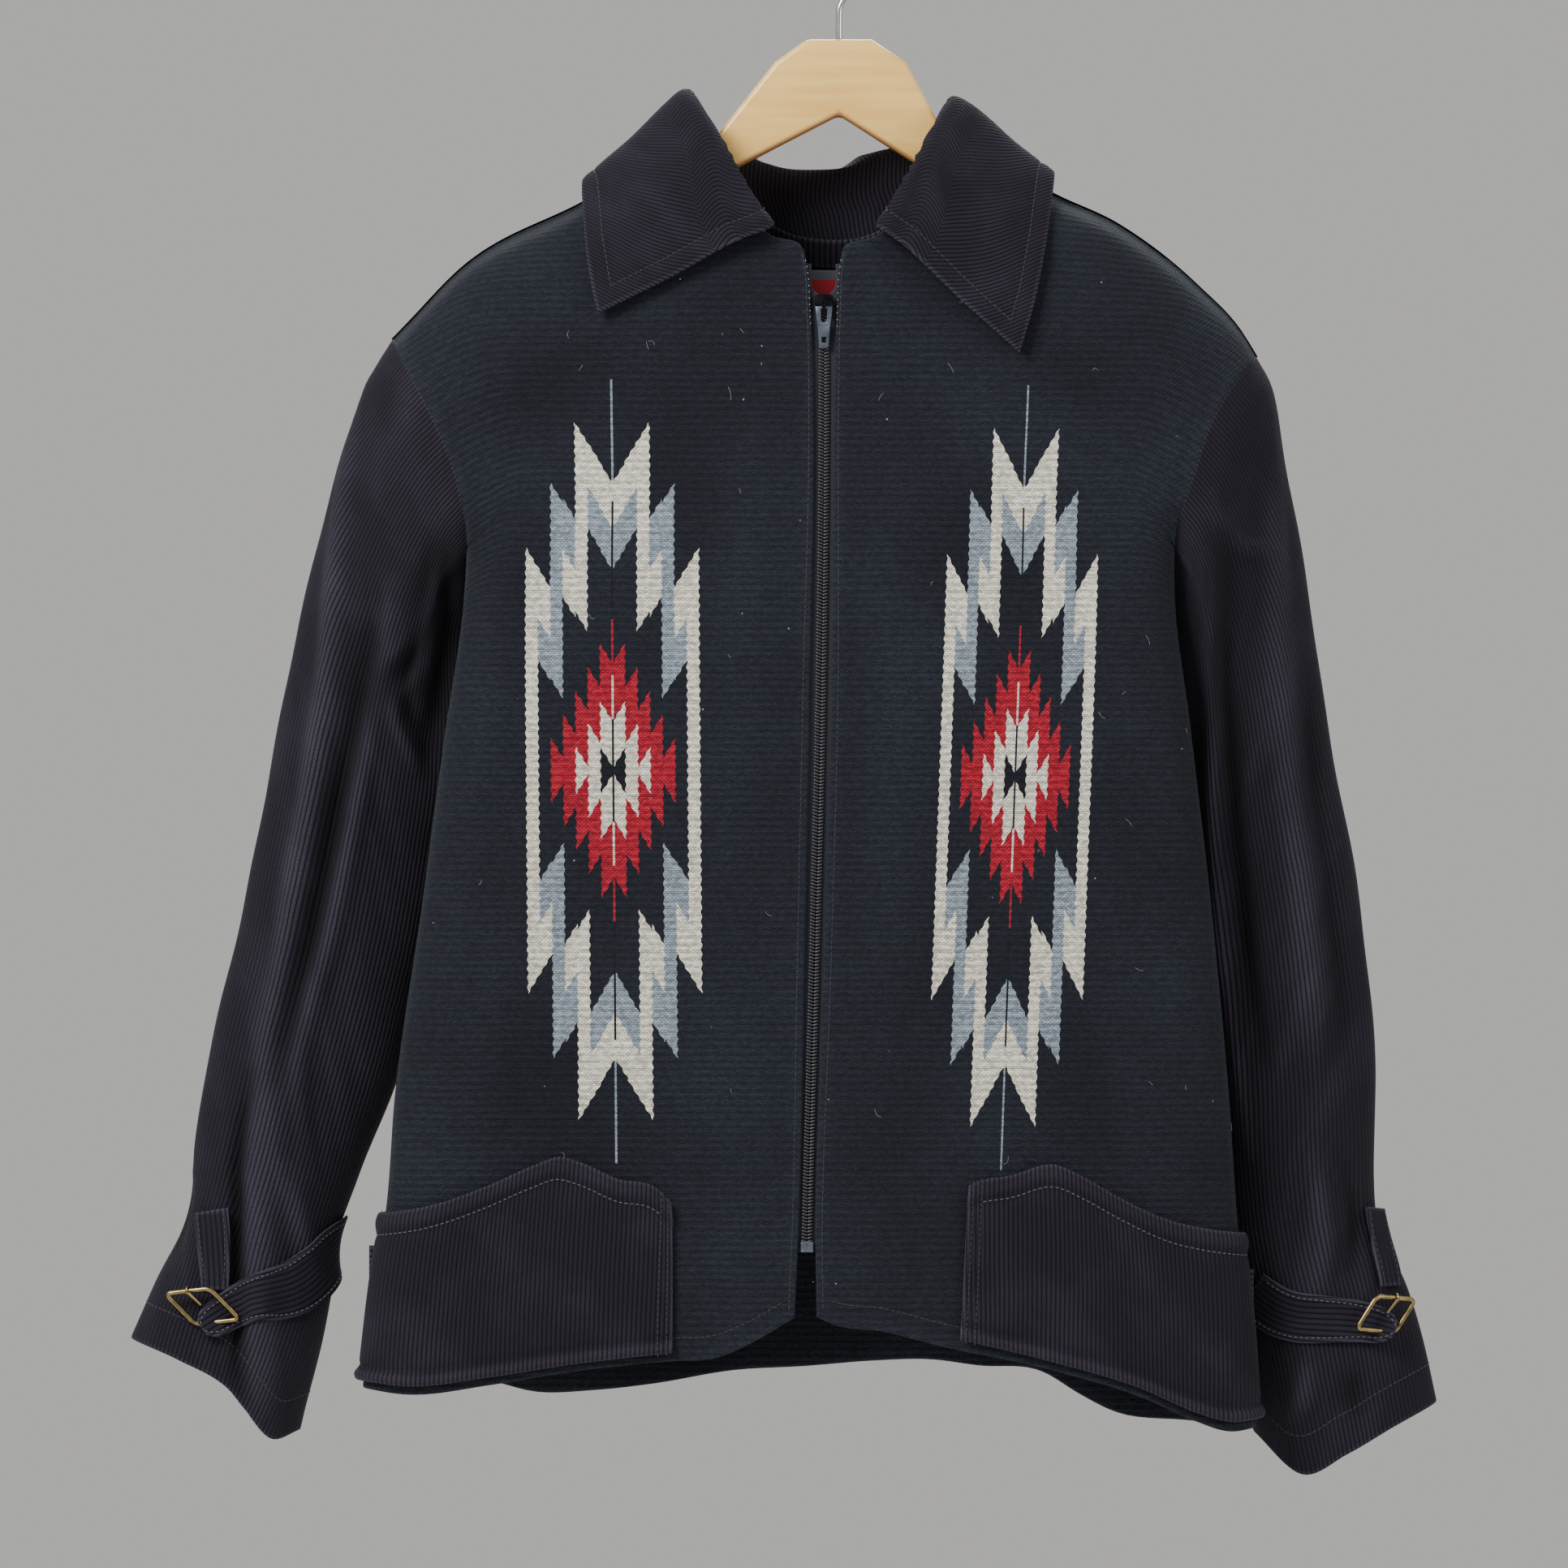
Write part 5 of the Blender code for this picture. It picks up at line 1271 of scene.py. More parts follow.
pocket_cloth = corduroy("pocket_corduroy", worn=1.2)
pocket_faces, stitch_lines = {}, []
for side in SIDES:
    grid = facing_out(in_place(pocket_rows(side), side["sign"]), (0, -1, 0))
    lines = front_folds[side["name"]]
    pushed = (rise(grid, lines) + undulate(grid)) * off_seams(side, grid, front_reach)
    pushed = pushed + POCKET_LIFT + CORDUROY
    grid = grid + grid_normals(grid) * pushed[..., None]
    cloth_map = flat_map(grid)
    up, across = lengths(grid, 0), lengths(grid, 1)
    from_side = np.minimum(across, across[:, -1:] - across)
    shape = relief(up, POCKET_FOOT) + relief(up[-1:] - up, POCKET_OPENING) + relief(from_side, POCKET_SIDES)
    grid = grid + grid_normals(grid) * shape[..., None]
    pocket_faces[side["name"]] = grid
    name = side["name"] + "_pocket"
    # The pocket's ridges and grooves are painted into its colour as well: paler ridges, worn and with a
    # painted highlight, and grooves in painted shade.
    pocket = shell(name + "_patch", grid, CORDUROY, cloth_map, pocket_cloth, crest=1.6 * shape)
    hung_cloth(pocket, "corduroy", name, POCKET_FLAT, POCKET_AREA[side["name"]], held="laid",
               rests_on=[side["name"] + "_front_panel"])

# ---------------------------------------------------------------- collar
# Two layers of corduroy with the wales across its width, sewn round the neck, rolled over and pressed into
# two long pointed leaves. Its outer edge is stitched round, eleven millimetres in.

# seam x, seam down, roll x, roll down, roll y, edge x, edge down, face (-1 front, 0 shoulder, 1 back)
COLLAR_STATIONS = (
    (-37, 176.5, -41, 179.5, -45, -133.2, 225.5, -1), (-49, 161, -57, 151, -38, -137, 208, -1),
    (-60, 145, -70, 125, -27, -140, 186, -1), (-74, 117, -85, 100.8, -2, -141, 151, 0),
    (-55, 166, -72, 120, 24, -128, 182, 1), (-30, 181, -40, 139, 38, -65, 213, 1),
    (-8, 183.5, -10, 142.5, 40, -8, 219, 1), (18, 181.5, 22, 133, 38, 50, 211, 1),
    (43, 166, 54, 119, 24, 108, 182, 1), (62, 117, 63.5, 105, -2, 118.5, 147, 0),
    (46, 145, 49, 131, -27, 114, 186, -1), (33, 161, 37, 155, -38, 108, 218, -1),
    (22, 176.5, 24, 179.5, -45, 99.5, 247, -1),
)
COLLAR_LIFT = 4.0
ROLL_PUFF = 2.0
COLLAR_FLAT = (0.56, 0.12)
COLLAR_AREA = 0.0475
COLLAR_STITCH = 11.0
COLLAR_STEPS = (2.2, 2.4)
# Groove and ridge by the stitched line, and two slow waves: height, turn per millimetre sideways and up,
# and where it starts
COLLAR_EDGE = ((-0.55, 0, 1.5), (0.35, -5, 4))
COLLAR_WAVES = ((0.5, 0.045, 0.03, 0), (0.35, -0.02, 0.09, 1))
COLLAR_FADES = (60, 30)


def collar_profile(station):
    """Seam, stand, roll, fall and edge of the collar at one station, each (x, y, z)."""
    seam_x, seam_down, roll_x, roll_down, roll_y, edge_x, edge_down, face = station
    seam_y = float(body_y(seam_x, seam_down, face)) if face else 0.0
    edge_y = float(body_y(edge_x, edge_down, face)) + face * COLLAR_LIFT if face else 0.0
    seam = np.array([seam_x, seam_y, -seam_down])
    roll = np.array([roll_x, roll_y, -roll_down])
    edge = np.array([edge_x, edge_y, -edge_down])
    stand, over, fall = (0.45 * seam + 0.55 * roll, 0.8 * roll + 0.2 * edge, 0.45 * roll + 0.55 * edge)
    if face:
        rests = float(body_y(fall[0], -fall[2], face)) + face * COLLAR_LIFT
        fall[1] = min(fall[1], rests) if face < 0 else max(fall[1], rests)
        over[1] = (roll_y + fall[1]) / 2
    over[2] += ROLL_PUFF
    return [seam, stand, roll, over, fall, (fall + edge) / 2, edge]


profiles = np.array([collar_profile(s) for s in COLLAR_STATIONS], float)
lengthwise = smooth(np.arange(len(profiles)), profiles, np.linspace(0, len(profiles) - 1, 300))
fine = smooth(np.arange(7), lengthwise.transpose(1, 0, 2), np.linspace(0, 6, 60)).transpose(1, 0, 2)
fine = np.stack([along(line, shares_of(105.0, COLLAR_STEPS[0])) for line in fine])
fine = np.stack([along(fine[:, c], shares_of(520.0, COLLAR_STEPS[1])) for c in range(fine.shape[1])], axis=1)
if grid_normals(fine)[len(fine) // 2, -2][1] < 0:
    fine = fine[:, ::-1]
grid = fine + grid_normals(fine) * TWO_CORDUROYS
edge_last = np.abs(grid[len(grid) // 2, -1, 2]) > np.abs(grid[len(grid) // 2, 0, 2]) + 20
long_way, across = lengths(grid, 0), lengths(grid, 1)
cloth_map = np.stack([long_way - long_way[len(grid) // 2:len(grid) // 2 + 1], across], axis=-1) * MM
from_edge = across[:, -1:] - across if edge_last else across
from_end = np.minimum(long_way, long_way[-1:] - long_way)
waves = sum(h * np.sin(a * grid[..., 0] + b * grid[..., 2] + start) for h, a, b, start in COLLAR_WAVES)
waves = waves * eased(from_edge / COLLAR_FADES[0]) * eased(from_end / COLLAR_FADES[1])
shape = relief(np.minimum(from_edge, from_end) - COLLAR_STITCH, COLLAR_EDGE) + waves
grid = grid + grid_normals(grid) * shape[..., None]
collar_cloth = corduroy("collar_corduroy", worn=1.5)
# The collar's ridges, grooves and waves are painted into its colour as well: paler ridges, worn and with a
# painted highlight, and grooves in painted shade.
collar = shell("collar_turned", grid, TWO_CORDUROYS, cloth_map, collar_cloth, crest=1.5 * shape)
hung_cloth(collar, "corduroy", "collar", COLLAR_FLAT, COLLAR_AREA,
           rests_on=["right_front_panel", "left_front_panel", "back_panel"])
long_edge = 3 if edge_last else 2
stitch_lines.append(("dark", line_inside(grid, long_edge, COLLAR_STITCH, COLLAR_STITCH)))
for end in (0, 1):
    line = line_inside(grid, end, COLLAR_STITCH, 0.0)
    run = lengths(line[:, :3])
    stop = run[-1] - COLLAR_STITCH if edge_last else run[-1]
    start = 34.0 if edge_last else COLLAR_STITCH
    stitch_lines.append(("dark", line[(run > start) & (run < stop)]))

# ---------------------------------------------------------------- neck facing and label
# A narrow strip of corduroy covers the neck seam inside the back, and a small woven label with a plain red
# field hangs sewn beneath it.

FACING_SPAN = (-48.0, 34.0)
FACING_HEIGHT = 16.0
FACING_CUT = ((0.09, 0.019), 0.00155)
CLEARANCE = 1.3
LABEL_SIZE = (60.0, 35.0)
LABEL_X = -8.0
LABEL_THICKNESS = 1.0
LABEL_LIFT = 0.8
LABEL_BORDER = 5.4
LABEL_CUT = ((0.06, 0.035), 0.0021)
LABEL_GREY = (0.13, 0.15, 0.17)
LABEL_RED = (0.62, 0.02, 0.045)


def inside_back(span, top_of, height, depth, step):
    """A flat grid on the inner face of the back, as (x, y, z), facing forward."""
    xs = span[0] + (span[1] - span[0]) * shares_of(span[1] - span[0], step)
    rows = []
    for share in shares_of(height, step):
        downs = np.array([float(top_of(x)) for x in xs]) + share * height
        rows.append(np.stack([xs, body_y(xs, downs, 1) - depth, -downs], axis=-1))
    return facing_out(np.array(rows), (0, -1, 0))


def facing_top(x):
    return read(BACK_NECKLINE, x) - 0.6


grid = inside_back(FACING_SPAN, facing_top, FACING_HEIGHT, WOOL + CLEARANCE + CORDUROY, 1.6)
facing_cloth = corduroy("facing_corduroy", pitch=3.2, worn=1.4)
facing = shell("neck_facing_strip", grid, CORDUROY, flat_map(grid), facing_cloth)
hung_cloth(facing, "corduroy", "neck_facing", *FACING_CUT, held="laid", rests_on=["back_panel"])

made, tree, shader = new_finish("woven_label", roughness=0.75, sheen_weight=0.15)
u, v, place = cloth_place(tree)
gap_u = calc(tree, "SUBTRACT", LABEL_SIZE[0] / 2 * MM, calc(tree, "ABSOLUTE", u))
gap_v = calc(tree, "MINIMUM", v, calc(tree, "SUBTRACT", LABEL_SIZE[1] * MM, v))
inner = calc(tree, "GREATER_THAN", calc(tree, "MINIMUM", gap_u, gap_v), LABEL_BORDER * MM)
colour = blend(tree, inner, LABEL_GREY, LABEL_RED)
rows_up = calc(tree, "SINE", calc(tree, "MULTIPLY", v, 2 * math.pi / (0.5 * MM)))
rows_out = calc(tree, "SINE", calc(tree, "MULTIPLY", u, 2 * math.pi / (0.4 * MM)))
weave = calc(tree, "MULTIPLY_ADD", calc(tree, "MULTIPLY", rows_up, rows_out), 0.5, 0.5)
colour = shaded(tree, colour, between(tree, weave, 0.0, 1.0, 0.7, 1.1))
dressed(tree, shader, colour, weave, 0.5, 0.15)
label_top = float(facing_top(LABEL_X)) + FACING_HEIGHT + LABEL_LIFT
span = (LABEL_X - LABEL_SIZE[0] / 2, LABEL_X + LABEL_SIZE[0] / 2)
grid = inside_back(span, lambda x: label_top, LABEL_SIZE[1], WOOL + LABEL_LIFT + LABEL_THICKNESS, 2.0)
label = shell("woven_label_patch", grid, LABEL_THICKNESS, flat_map(grid), made)
hung_cloth(label, "label", "label", *LABEL_CUT, held="laid", rests_on=["back_panel"])

# ---------------------------------------------------------------- zip
# An open-ended coil zip on dark twill tapes: two rows of nylon loops closed by a black slider, with a small
# metal box at the bottom. The pull hangs from the slider's bridge and swings on it.

ZIP_TOP = 197.0
SLIDER_TOP = 214.0
SLIDER_LENGTH = 11.0
COIL_BOTTOM = 737.0
BOX_BOTTOM = 743.0
TAPE = 0.9
TAPE_LIFT = 0.8
COIL_WIDTH = 6.3
COIL_HEIGHT = 1.6
COIL_PITCH = 1.84
TAPE_WIDTH = 14.0
TAPES_APART = 0.2
TAPES_SPREAD = 5.0
TAPE_CUT = ((0.014, 0.55), 0.0076)
TAPE_BLACK = (0.019, 0.019, 0.03)
TWILL_PITCH = 1.1
COIL_BLACK = (0.03, 0.03, 0.037)
COIL_SLANT = 17
BOX_WIDTH = 6.8
BOX_DEPTH = 2.9
SLIDER_WIDTH = 10.6
SLIDER_TAPER = 0.86
SLIDER_CORNER = 2.2
SLIDER_POST = 2.4
POST_LENGTH = 5.6
PLATE = 1.1
REAR_GAP = 1.0
BRIDGE_WIDTH = 2.0
BRIDGE_HEIGHT = 3.3
BRIDGE_WALL = 0.9
PULL_DOWN = 221.6
PULL_STAND_OFF = 1.3
PULL_THICKNESS = 1.0
EYE_BELOW = 1.3
PULL_HALF = ((4.6, -0.7), (4.4, 3.0), (3.4, 10.0), (2.6, 21.3), (1.8, 22.3))
SLOT_HALF, SLOT_TOP, SLOT_END = 1.7, 0.6, 6.4
EYE_HALF, EYE_TOP, EYE_END = 1.3, 16.1, 19.3


def zip_place(down):
    """Middle of the zip and depth of the cloth's inner face there, as (x, y)."""
    x = (LEFT["sign"] * read(LEFT["front_edge"], down) + RIGHT["sign"] * read(RIGHT["front_edge"], down)) / 2
    return float(x), float(WOOL - read(BODY_DEPTHS, down))


tape_finish, tree, shader = new_finish("zip_tape_twill", roughness=0.85, sheen_weight=0.1)
u, v, place = cloth_place(tree)
slanted = calc(tree, "MULTIPLY_ADD", v, 0.6, u)
twill = calc(tree, "SINE", calc(tree, "MULTIPLY", slanted, 2 * math.pi / (TWILL_PITCH * MM)))
colour = shaded(tree, TAPE_BLACK, between(tree, twill, -1.0, 1.0, 0.6, 1.25))
dressed(tree, shader, colour, twill, 0.5, 0.2)

split = SLIDER_TOP + POST_LENGTH + 0.8
for side in SIDES:
    downs = np.concatenate([
        ZIP_TOP + np.array(RIM[:-1]), np.linspace(ZIP_TOP + RIM[-1], split, 8),
        np.linspace(split + 0.4, BOX_BOTTOM - RIM[-1], 170), BOX_BOTTOM - np.array(RIM[:-1])[::-1],
    ])
    rows = []
    for down in downs:
        x, y = zip_place(down)
        apart = SLIDER_POST / 2 + 2 * SEAM_GAP + TAPES_SPREAD * float(eased((SLIDER_TOP + 2 - down) / 7))
        start = TAPES_APART if down > split else apart
        reach = start + (TAPE_WIDTH - start) * shares_of(TAPE_WIDTH, 2.0)
        rows.append([(x + side["sign"] * r, y + TAPE_LIFT, -down) for r in reach])
    grid = facing_out(np.array(rows), (0, -1, 0))
    name = "zip_tape_" + side["name"]
    tape = shell(name + "_woven", grid, TAPE, flat_map(grid), tape_finish)
    hung_cloth(tape, "tape", name, *TAPE_CUT, held="laid", rests_on=[side["name"] + "_front_panel"])


def along_path_tree():
    """Geometry Nodes: copies of a piece along a path's edges, set by its direction and its up vectors."""
    tree = bpy.data.node_groups.new("pieces_along_a_path", "GeometryNodeTree")
    tree.interface.new_socket(name="Path", in_out="INPUT", socket_type="NodeSocketGeometry")
    tree.interface.new_socket(name="Piece", in_out="INPUT", socket_type="NodeSocketObject")
    tree.interface.new_socket(name="Spacing", in_out="INPUT", socket_type="NodeSocketFloat")
    tree.interface.new_socket(name="Finish", in_out="INPUT", socket_type="NodeSocketMaterial")
    tree.interface.new_socket(name="Pieces", in_out="OUTPUT", socket_type="NodeSocketGeometry")
    given = tree.nodes.new("NodeGroupInput")
    curve = node(tree, "GeometryNodeMeshToCurve", {0: given.outputs["Path"]})
    spaced = tree.nodes.new("GeometryNodeResampleCurve")
    spaced.mode = "LENGTH"
    tree.links.new(curve.outputs[0], spaced.inputs["Curve"])
    tree.links.new(given.outputs["Spacing"], spaced.inputs["Length"])
    up = tree.nodes.new("GeometryNodeInputNamedAttribute")
    up.data_type = "FLOAT_VECTOR"
    up.inputs["Name"].default_value = "up"
    tangent = tree.nodes.new("GeometryNodeInputTangent")
    turn = tree.nodes.new("FunctionNodeAxesToRotation")
    turn.primary_axis, turn.secondary_axis = "X", "Z"
    tree.links.new(tangent.outputs[0], turn.inputs["Primary Axis"])
    tree.links.new(up.outputs["Attribute"], turn.inputs["Secondary Axis"])
    piece = node(tree, "GeometryNodeObjectInfo", {"Object": given.outputs["Piece"]})
    placed = node(tree, "GeometryNodeInstanceOnPoints", {
        "Points": spaced.outputs[0], "Instance": piece.outputs["Geometry"], "Rotation": turn.outputs[0],
    })
    real = node(tree, "GeometryNodeRealizeInstances", {0: placed.outputs[0]})
    finished = node(tree, "GeometryNodeSetMaterial", {
        "Geometry": real.outputs[0], "Material": given.outputs["Finish"],
    })
    leaving = tree.nodes.new("NodeGroupOutput")
    tree.links.new(finished.outputs[0], leaving.inputs["Pieces"])
    return tree


path_tree = along_path_tree()


def along_paths(name, lines, piece, spacing, finish):
    """A plain mesh object of pieces set along lines of points with normals, in millimetres."""
    points = np.concatenate([line[:, :3] for line in lines]) * MM
    normals = np.concatenate([line[:, 3:] for line in lines])
    edges, start = [], 0
    for line in lines:
        edges += [(start + k, start + k + 1) for k in range(len(line) - 1)]
        start += len(line)
    mesh = bpy.data.meshes.new(name)
    mesh.from_pydata(points.tolist(), edges, [])
    up = mesh.attributes.new("up", "FLOAT_VECTOR", "POINT")
    up.data.foreach_set("vector", normals.astype(np.float32).ravel())
    made = bpy.data.objects.new(name, mesh)
    bpy.context.scene.collection.objects.link(made)
    change = made.modifiers.new("Along the path", "NODES")
    change.node_group = path_tree
    sockets = {s.name: s.identifier for s in path_tree.interface.items_tree if s.in_out == "INPUT"}
    change[sockets["Piece"]] = piece
    change[sockets["Spacing"]] = spacing * MM
    change[sockets["Finish"]] = finish
    bpy.context.view_layer.update()
    graph = bpy.context.evaluated_depsgraph_get()
    plain = bpy.data.meshes.new_from_object(made.evaluated_get(graph))
    made.modifiers.clear()
    made.data = plain
    plain.shade_smooth()
    return made


def thread_piece(name, length, width, height, sink=0.35, slant=0):
    """A small rounded bar along X, or turned from it by some degrees, partly sunk below its path."""
    shares = ((-0.5, 0.25), (-0.42, 0.75), (-0.2, 1.0), (0.2, 1.0), (0.42, 0.75), (0.5, 0.25))
    sides = 8
    points, faces = [], []
    for share, wide in shares:
        for k in range(sides):
            a = 2 * math.pi * k / sides
            points.append((share * length, wide * width / 2 * math.cos(a),
                           wide * height / 2 * math.sin(a) + height * (0.5 - sink)))
    for start in range(0, (len(shares) - 1) * sides, sides):
        for k in range(sides):
            after = (k + 1) % sides
            faces.append((start + k, start + after, start + sides + after, start + sides + k))
    faces += [tuple(range(sides))[::-1], tuple(range((len(shares) - 1) * sides, len(shares) * sides))]
    tilt = math.radians(slant)
    turn = np.array([[math.cos(tilt), -math.sin(tilt), 0], [math.sin(tilt), math.cos(tilt), 0], [0, 0, 1]])
    mesh = bpy.data.meshes.new(name)
    mesh.from_pydata((np.array(points) * MM @ turn.T).tolist(), [], [f[::-1] for f in faces])
    return bpy.data.objects.new(name, mesh)


coil_finish, tree, shader = new_finish("zip_coil_nylon", roughness=0.32, specular_ior_level=0.6)
shader.inputs["Base Color"].default_value = (*COIL_BLACK, 1)
for half, row in ((-1, "right"), (1, "left")):
    downs = np.linspace(SLIDER_TOP + SLIDER_LENGTH + 0.4 + COIL_PITCH / 4 * (half + 1), COIL_BOTTOM, 260)
    line = []
    for down in downs:
        x, y = zip_place(down)
        line.append((x + half * COIL_WIDTH / 4.2, y + TAPE_LIFT - SEAM_GAP, -down, 0, -1, 0))
    loop = thread_piece("coil_loop_" + row, COIL_WIDTH / 1.9, 1.3, COIL_HEIGHT, 0.0, 90 + half * COIL_SLANT)
    coil = along_paths("zip_coil_row_" + row, [np.array(line)], loop, COIL_PITCH, coil_finish)
    fitted(coil, "jacket", "coil", "zip_coil")


def extruded(outline, y_from, y_to):
    """Points and faces of a plate from an outline of (x, down) points, between two depths."""
    count = len(outline)
    points = np.array([(x, y, -down) for y in (y_from, y_to) for x, down in outline], float)
    faces = [tuple(range(count)), tuple(range(2 * count - 1, count - 1, -1))]
    faces += [(k, k + count, (k + 1) % count + count, (k + 1) % count) for k in range(count)]
    return points, faces


def block(low, high):
    """Points and faces of a box between two corners given as (x, y, down)."""
    outline = ((low[0], low[2]), (high[0], low[2]), (high[0], high[2]), (low[0], high[2]))
    return extruded(outline, low[1], high[1])


def carved(name, first, others, finish, bevel, segments=3):
    """A mesh from one solid, others joined to it or cut from it, and its edges rounded."""
    made = joined(name, [first], finish, smooth_faces=False)
    helpers = []
    for number, (solid, operation) in enumerate(others):
        helper = joined(f"{name}_{number}", [solid], finish, smooth_faces=False)
        change = made.modifiers.new(f"step_{number}", "BOOLEAN")
        change.operation, change.solver, change.object = operation, "EXACT", helper
        helpers.append(helper)
    edges = made.modifiers.new("Rounded edges", "BEVEL")
    edges.width, edges.segments, edges.limit_method = bevel * MM, segments, "ANGLE"
    edges.angle_limit = math.radians(35)
    bpy.context.view_layer.update()
    plain = bpy.data.meshes.new_from_object(made.evaluated_get(bpy.context.evaluated_depsgraph_get()))
    made.modifiers.clear()
    made.data = plain
    for helper in helpers:
        bpy.data.objects.remove(helper, do_unlink=True)
    plain.shade_smooth()
    plain.set_sharp_from_angle(angle=math.radians(40))
    return made


black_metal = metal("black_lacquered_metal", (0.012, 0.012, 0.014), 0.3, (0.03, 0.03, 0.034))
grey_metal = metal("grey_metal", (0.17, 0.2, 0.25), 0.4, (0.11, 0.13, 0.17))

x, y = zip_place(COIL_BOTTOM)
low = (x - BOX_WIDTH / 2, y + TAPE_LIFT - SEAM_GAP - BOX_DEPTH, COIL_BOTTOM + SEAM_GAP)
high = (x + BOX_WIDTH / 2, y + TAPE_LIFT - 2 * SEAM_GAP, BOX_BOTTOM)
groove = block((x - 0.3, low[1] - 1, low[2] + 0.8), (x + 0.3, low[1] + 0.4, high[2] - 0.8))
zip_box = carved("zip_box_metal", block(low, high), [(groove, "DIFFERENCE")], grey_metal, 0.35)
fitted(zip_box, "jacket", "grey_metal", "zip_box")

x, y = zip_place(SLIDER_TOP + SLIDER_LENGTH)
tape_front = y + TAPE_LIFT
plate_back = tape_front - SEAM_GAP - COIL_HEIGHT - SEAM_GAP
plate_front = plate_back - PLATE
rear = tape_front + TAPE + REAR_GAP
top, bottom = SLIDER_TOP, SLIDER_TOP + SLIDER_LENGTH
half, half_low = SLIDER_WIDTH / 2, SLIDER_WIDTH / 2 * SLIDER_TAPER
outline = []
for sx, sz, wide, at in ((sx, *end) for sx in (1, -1) for end in ((-1, half, top), (1, half_low, bottom))):
    for a in np.radians(np.linspace(0, 90, 6)):
        aside = wide - SLIDER_CORNER + SLIDER_CORNER * math.cos(a)
        outline.append((x + sx * aside, at - sz * SLIDER_CORNER + sz * SLIDER_CORNER * math.sin(a)))
centre_down = (top + bottom) / 2
outline.sort(key=lambda p: math.atan2(p[1] - centre_down, p[0] - x))
foot, crest = plate_front + PLATE / 2, plate_front - BRIDGE_HEIGHT
slider = carved("zip_slider_metal", extruded(outline, plate_front, plate_back), [
    (extruded(outline, rear, rear + PLATE), "UNION"),
    (block((x - SLIDER_POST / 2, plate_back - PLATE / 2, top + 0.6),
           (x + SLIDER_POST / 2, rear + PLATE / 2, top + POST_LENGTH)), "UNION"),
    (block((x - BRIDGE_WIDTH / 2, crest, top + 1.2),
           (x + BRIDGE_WIDTH / 2, foot, PULL_DOWN + EYE_BELOW + BRIDGE_WALL)), "UNION"),
    (block((x - BRIDGE_WIDTH, crest + BRIDGE_WALL, top + 1.2 + BRIDGE_WALL),
           (x + BRIDGE_WIDTH, plate_front - 0.02, PULL_DOWN + EYE_BELOW)), "DIFFERENCE"),
], black_metal, 0.22)
fitted(slider, "jacket", "black_metal", "zip_slider")

axis_y = plate_front - PULL_STAND_OFF
outline = [*PULL_HALF, *((-half_x, down) for half_x, down in reversed(PULL_HALF))]
outline = [(x + px, PULL_DOWN + pz) for px, pz in outline]
slot = [(-SLOT_HALF, SLOT_TOP), (SLOT_HALF, SLOT_TOP)]
slot += [(SLOT_HALF * math.cos(a), SLOT_END + SLOT_HALF * math.sin(a)) for a in np.linspace(0, math.pi, 17)]
eye = [(-EYE_HALF, EYE_TOP), (EYE_HALF, EYE_TOP), (EYE_HALF, EYE_END), (-EYE_HALF, EYE_END)]
cuts = [
    (extruded([(x + px, PULL_DOWN + pz) for px, pz in cut], axis_y - 2, axis_y + 2), "DIFFERENCE")
    for cut in (slot, eye)
]
line_down = PULL_DOWN + SLOT_END + SLOT_HALF + 1.6
front, behind = axis_y - PULL_THICKNESS / 2, axis_y + PULL_THICKNESS / 2
groove = block((x - 3.0, axis_y - 2, line_down), (x + 3.0, front + 0.25, line_down + 0.5))
cuts.append((groove, "DIFFERENCE"))
pull = carved("zip_pull_metal", extruded(outline, front, behind), cuts, grey_metal, 0.16)
fitted(pull, "zip_pull", "grey_metal", "zip_pull")

# ---------------------------------------------------------------- hanger
# A one-piece shaped hanger of pale varnished wood, without a bar, with a turned wire hook screwed into its
# middle. Its faces that turn downwards carry a browner painted shade.

HANGER_TOP = (
    (-222, 219), (-213, 209), (-140, 169), (-100, 148), (-69.3, 125.5), (-35.6, 83), (-18, 70.5), (18, 70.5),
    (37, 83), (59, 123.5), (90, 147), (156, 183), (201, 218), (209, 228),
)
HANGER_BOTTOM = ((198, 234), (140, 198), (44.6, 141.3), (0, 113), (-61.2, 144.5), (-140, 191), (-207, 226))
HANGER_THICKNESS = 10.5
HOOK_WIRE = 3.6
HOOK_RADIUS = 20.0
HOOK_TURNS = (200.0, -62.0)
HOOK_NECK = ((3.4, 47.0), (0.6, 52.0), (0.0, 57.0), (0.0, 70.2))
PALE_WOOD = (0.92, 0.60, 0.185)
DEEP_WOOD = (0.83, 0.48, 0.125)
UNDERSIDE_SHADE = (0.46, 0.21, 0.06)

wood, tree, shader = new_finish("pale_varnished_wood", roughness=0.32, coat_weight=0.35, coat_roughness=0.15)
place = node(tree, "ShaderNodeTexCoord").outputs["Object"]
stretched = node(tree, "ShaderNodeMapping", {"Vector": place, "Scale": (14.0, 60.0, 160.0)}).outputs[0]
grain = noise(tree, stretched, 1.0, 5.0)
colour = blend(tree, between(tree, grain, 0.35, 0.7), PALE_WOOD, DEEP_WOOD)
facing_way = node(tree, "ShaderNodeNewGeometry").outputs["Normal"]
downward = node(tree, "ShaderNodeSeparateXYZ", {0: facing_way}).outputs[2]
# Painted shade: faces turned downwards are blended to a dark brown.
colour = blend(tree, between(tree, downward, -0.08, -0.5), colour, UNDERSIDE_SHADE)
dressed(tree, shader, colour, grain, 0.15, 0.3)

half = HANGER_THICKNESS / 2
hanger_outline = extruded([*HANGER_TOP, *HANGER_BOTTOM], -half, half)
hanger = carved("hanger_wood", hanger_outline, [], wood, 3.2, 4)
fitted(hanger, "jacket", "wood", "hanger")

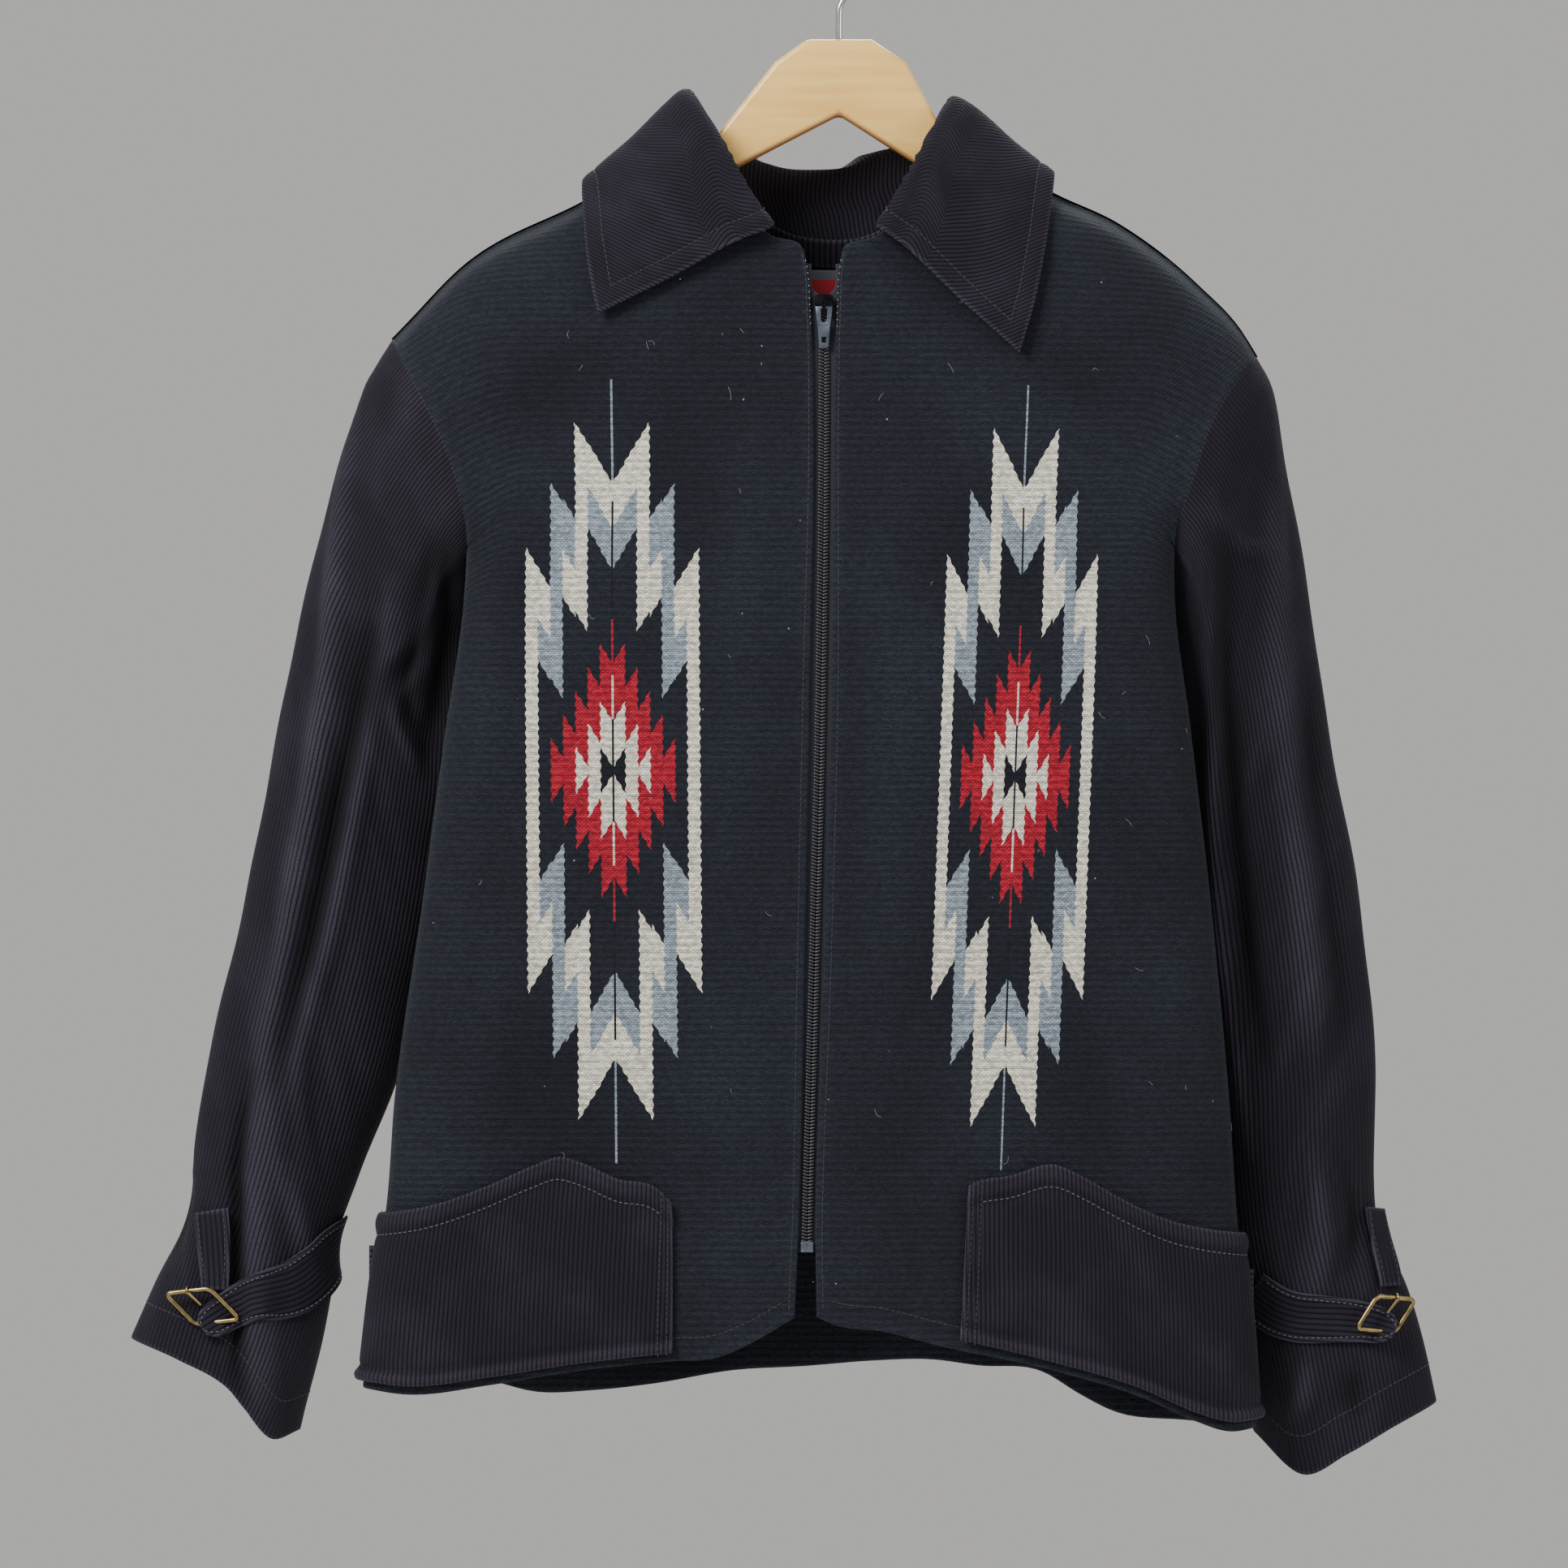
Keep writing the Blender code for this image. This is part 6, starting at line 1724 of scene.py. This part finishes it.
radius = HOOK_RADIUS + HOOK_WIRE / 2
turns = np.radians(np.linspace(*HOOK_TURNS, 60))
route = [(radius * math.cos(a), 0.0, radius * math.sin(a) - HOOK_RADIUS) for a in turns]
route += [(x, 0.0, -down) for x, down in HOOK_NECK]
route = smooth(np.arange(len(route)), np.array(route), np.linspace(0, len(route) - 1, 120))
steel = metal("hook_steel_polished", (0.62, 0.62, 0.62), 0.22, (0.5, 0.5, 0.5), 60.0)
hook = joined("hanger_hook_wire", [wire(route, HOOK_WIRE / 2, 16, False)], steel)
fitted(hook, "jacket", "hook_steel", "hanger_hook")

# ---------------------------------------------------------------- stitching
# Rows of lockstitch in strong thread hold the collar's edge, the pockets, the cuffs, the straps and the zip.
# The threads on the pockets and straps are a little paler than the cloth; those on the collar match it. A
# short row of white stitches shows on both edges beside the slider.

THREADS = {"dark": (0.014, 0.012, 0.018), "pale": (0.105, 0.1, 0.115), "white": (0.5, 0.5, 0.5)}
STITCH = {"dark": (2.6, 0.6, 0.5), "pale": (2.0, 0.5, 0.45), "white": (0.6, 0.35, 0.3)}
STITCH_SPACING = {"dark": 3.3, "pale": 3.1, "white": 3.4}
CUFF_HEM = 22.0
WHITE_ROW = (192, 232)

for side in SIDES:
    grid = pocket_faces[side["name"]]
    stitch_lines.append(("pale", line_inside(grid, 1, 13.0, 9.0)))
    inner, outer = (3, 2) if side["sign"] < 0 else (2, 3)
    for column in (inner, outer):
        for _, gap, _ in POCKET_SIDES:
            stitch_lines.append(("dark", line_inside(grid, column, gap, 0.0)[2:-2]))
    for thread, piece, gap, ends in (("pale", "cuff_strap", 3.0, 4.0), ("dark", "buckle_tab", 2.6, 3.0)):
        for edge in (2, 3):
            stitch_lines.append((thread, line_inside(band_faces[side["name"] + piece], edge, gap, ends)))
    sleeve = sleeve_faces[side["name"]]
    reach = lengths(sleeve, 0)
    normals = grid_normals(sleeve, True)
    cuff = []
    for c in range(sleeve.shape[1] + 1):
        k = c % sleeve.shape[1]
        at = reach[-1, k] - CUFF_HEM
        place = np.concatenate([sleeve[:, k], normals[:, k]], axis=1)
        cuff.append([np.interp(at, reach[:, k], values) for values in place.T])
    stitch_lines.append(("dark", np.array(cuff)))
    front = front_faces[side["name"]]
    stitch_lines.append(("dark", line_inside(front, inner, 4.0, 6.0)))
    near_slider = line_inside(front, inner, 1.2, 6.0)
    shows = (near_slider[:, 2] > -WHITE_ROW[1]) & (near_slider[:, 2] < -WHITE_ROW[0])
    stitch_lines.append(("white", near_slider[shows]))
    stitch_lines.append(("dark", line_inside(front, 0, 13.0, 8.0)))

for kind, colour in THREADS.items():
    finish, tree, shader = new_finish(kind + "_thread", roughness=0.7, sheen_weight=0.2)
    shader.inputs["Base Color"].default_value = (*colour, 1)
    piece = thread_piece(kind + "_stitch", *STITCH[kind])
    lines = [line for own, line in stitch_lines if own == kind and len(line) > 1]
    stitches = along_paths(kind + "_stitches", lines, piece, STITCH_SPACING[kind], finish)
    fitted(stitches, "jacket", "tape")

# ---------------------------------------------------------------- lint
# A few pale hairs and fibres cling to the wool, each a thin thread that lies on a front with a slight bow.
# They are loose, in no order, and every one has its own length and turn.

HAIRS = 44
HAIR_WIRE = 0.07
HAIR_COLOUR = (0.34, 0.34, 0.33)
chance = np.random.RandomState(11)
lint_finish, tree, shader = new_finish("pale_lint", roughness=0.8)
shader.inputs["Base Color"].default_value = (*HAIR_COLOUR, 1)
hairs = []
for side in SIDES:
    grid = front_faces[side["name"]]
    normals = grid_normals(grid)
    for _ in range(HAIRS // 2):
        r, c = chance.randint(12, grid.shape[0] - 30), chance.randint(10, grid.shape[1] - 10)
        length, turn, bow = chance.uniform(1.0, 6.0), chance.uniform(0, math.pi), chance.uniform(-1.2, 1.2)
        across, up = grid[r, c + 1] - grid[r, c - 1], grid[r + 1, c] - grid[r - 1, c]
        across, up = across / np.linalg.norm(across), up / np.linalg.norm(up)
        ahead = math.cos(turn) * across + math.sin(turn) * up
        aside = -math.sin(turn) * across + math.cos(turn) * up
        t = np.linspace(-0.5, 0.5, 5)[:, None]
        route = grid[r, c] + normals[r, c] * (0.25 - 0.3 * t * t) + ahead * t * length
        route = route + aside * bow * (0.25 - t * t) * 4
        hairs.append(wire(route, HAIR_WIRE, 4, False))
lint = joined("lint_hairs", hairs, lint_finish)
fitted(lint, "jacket", "wool")
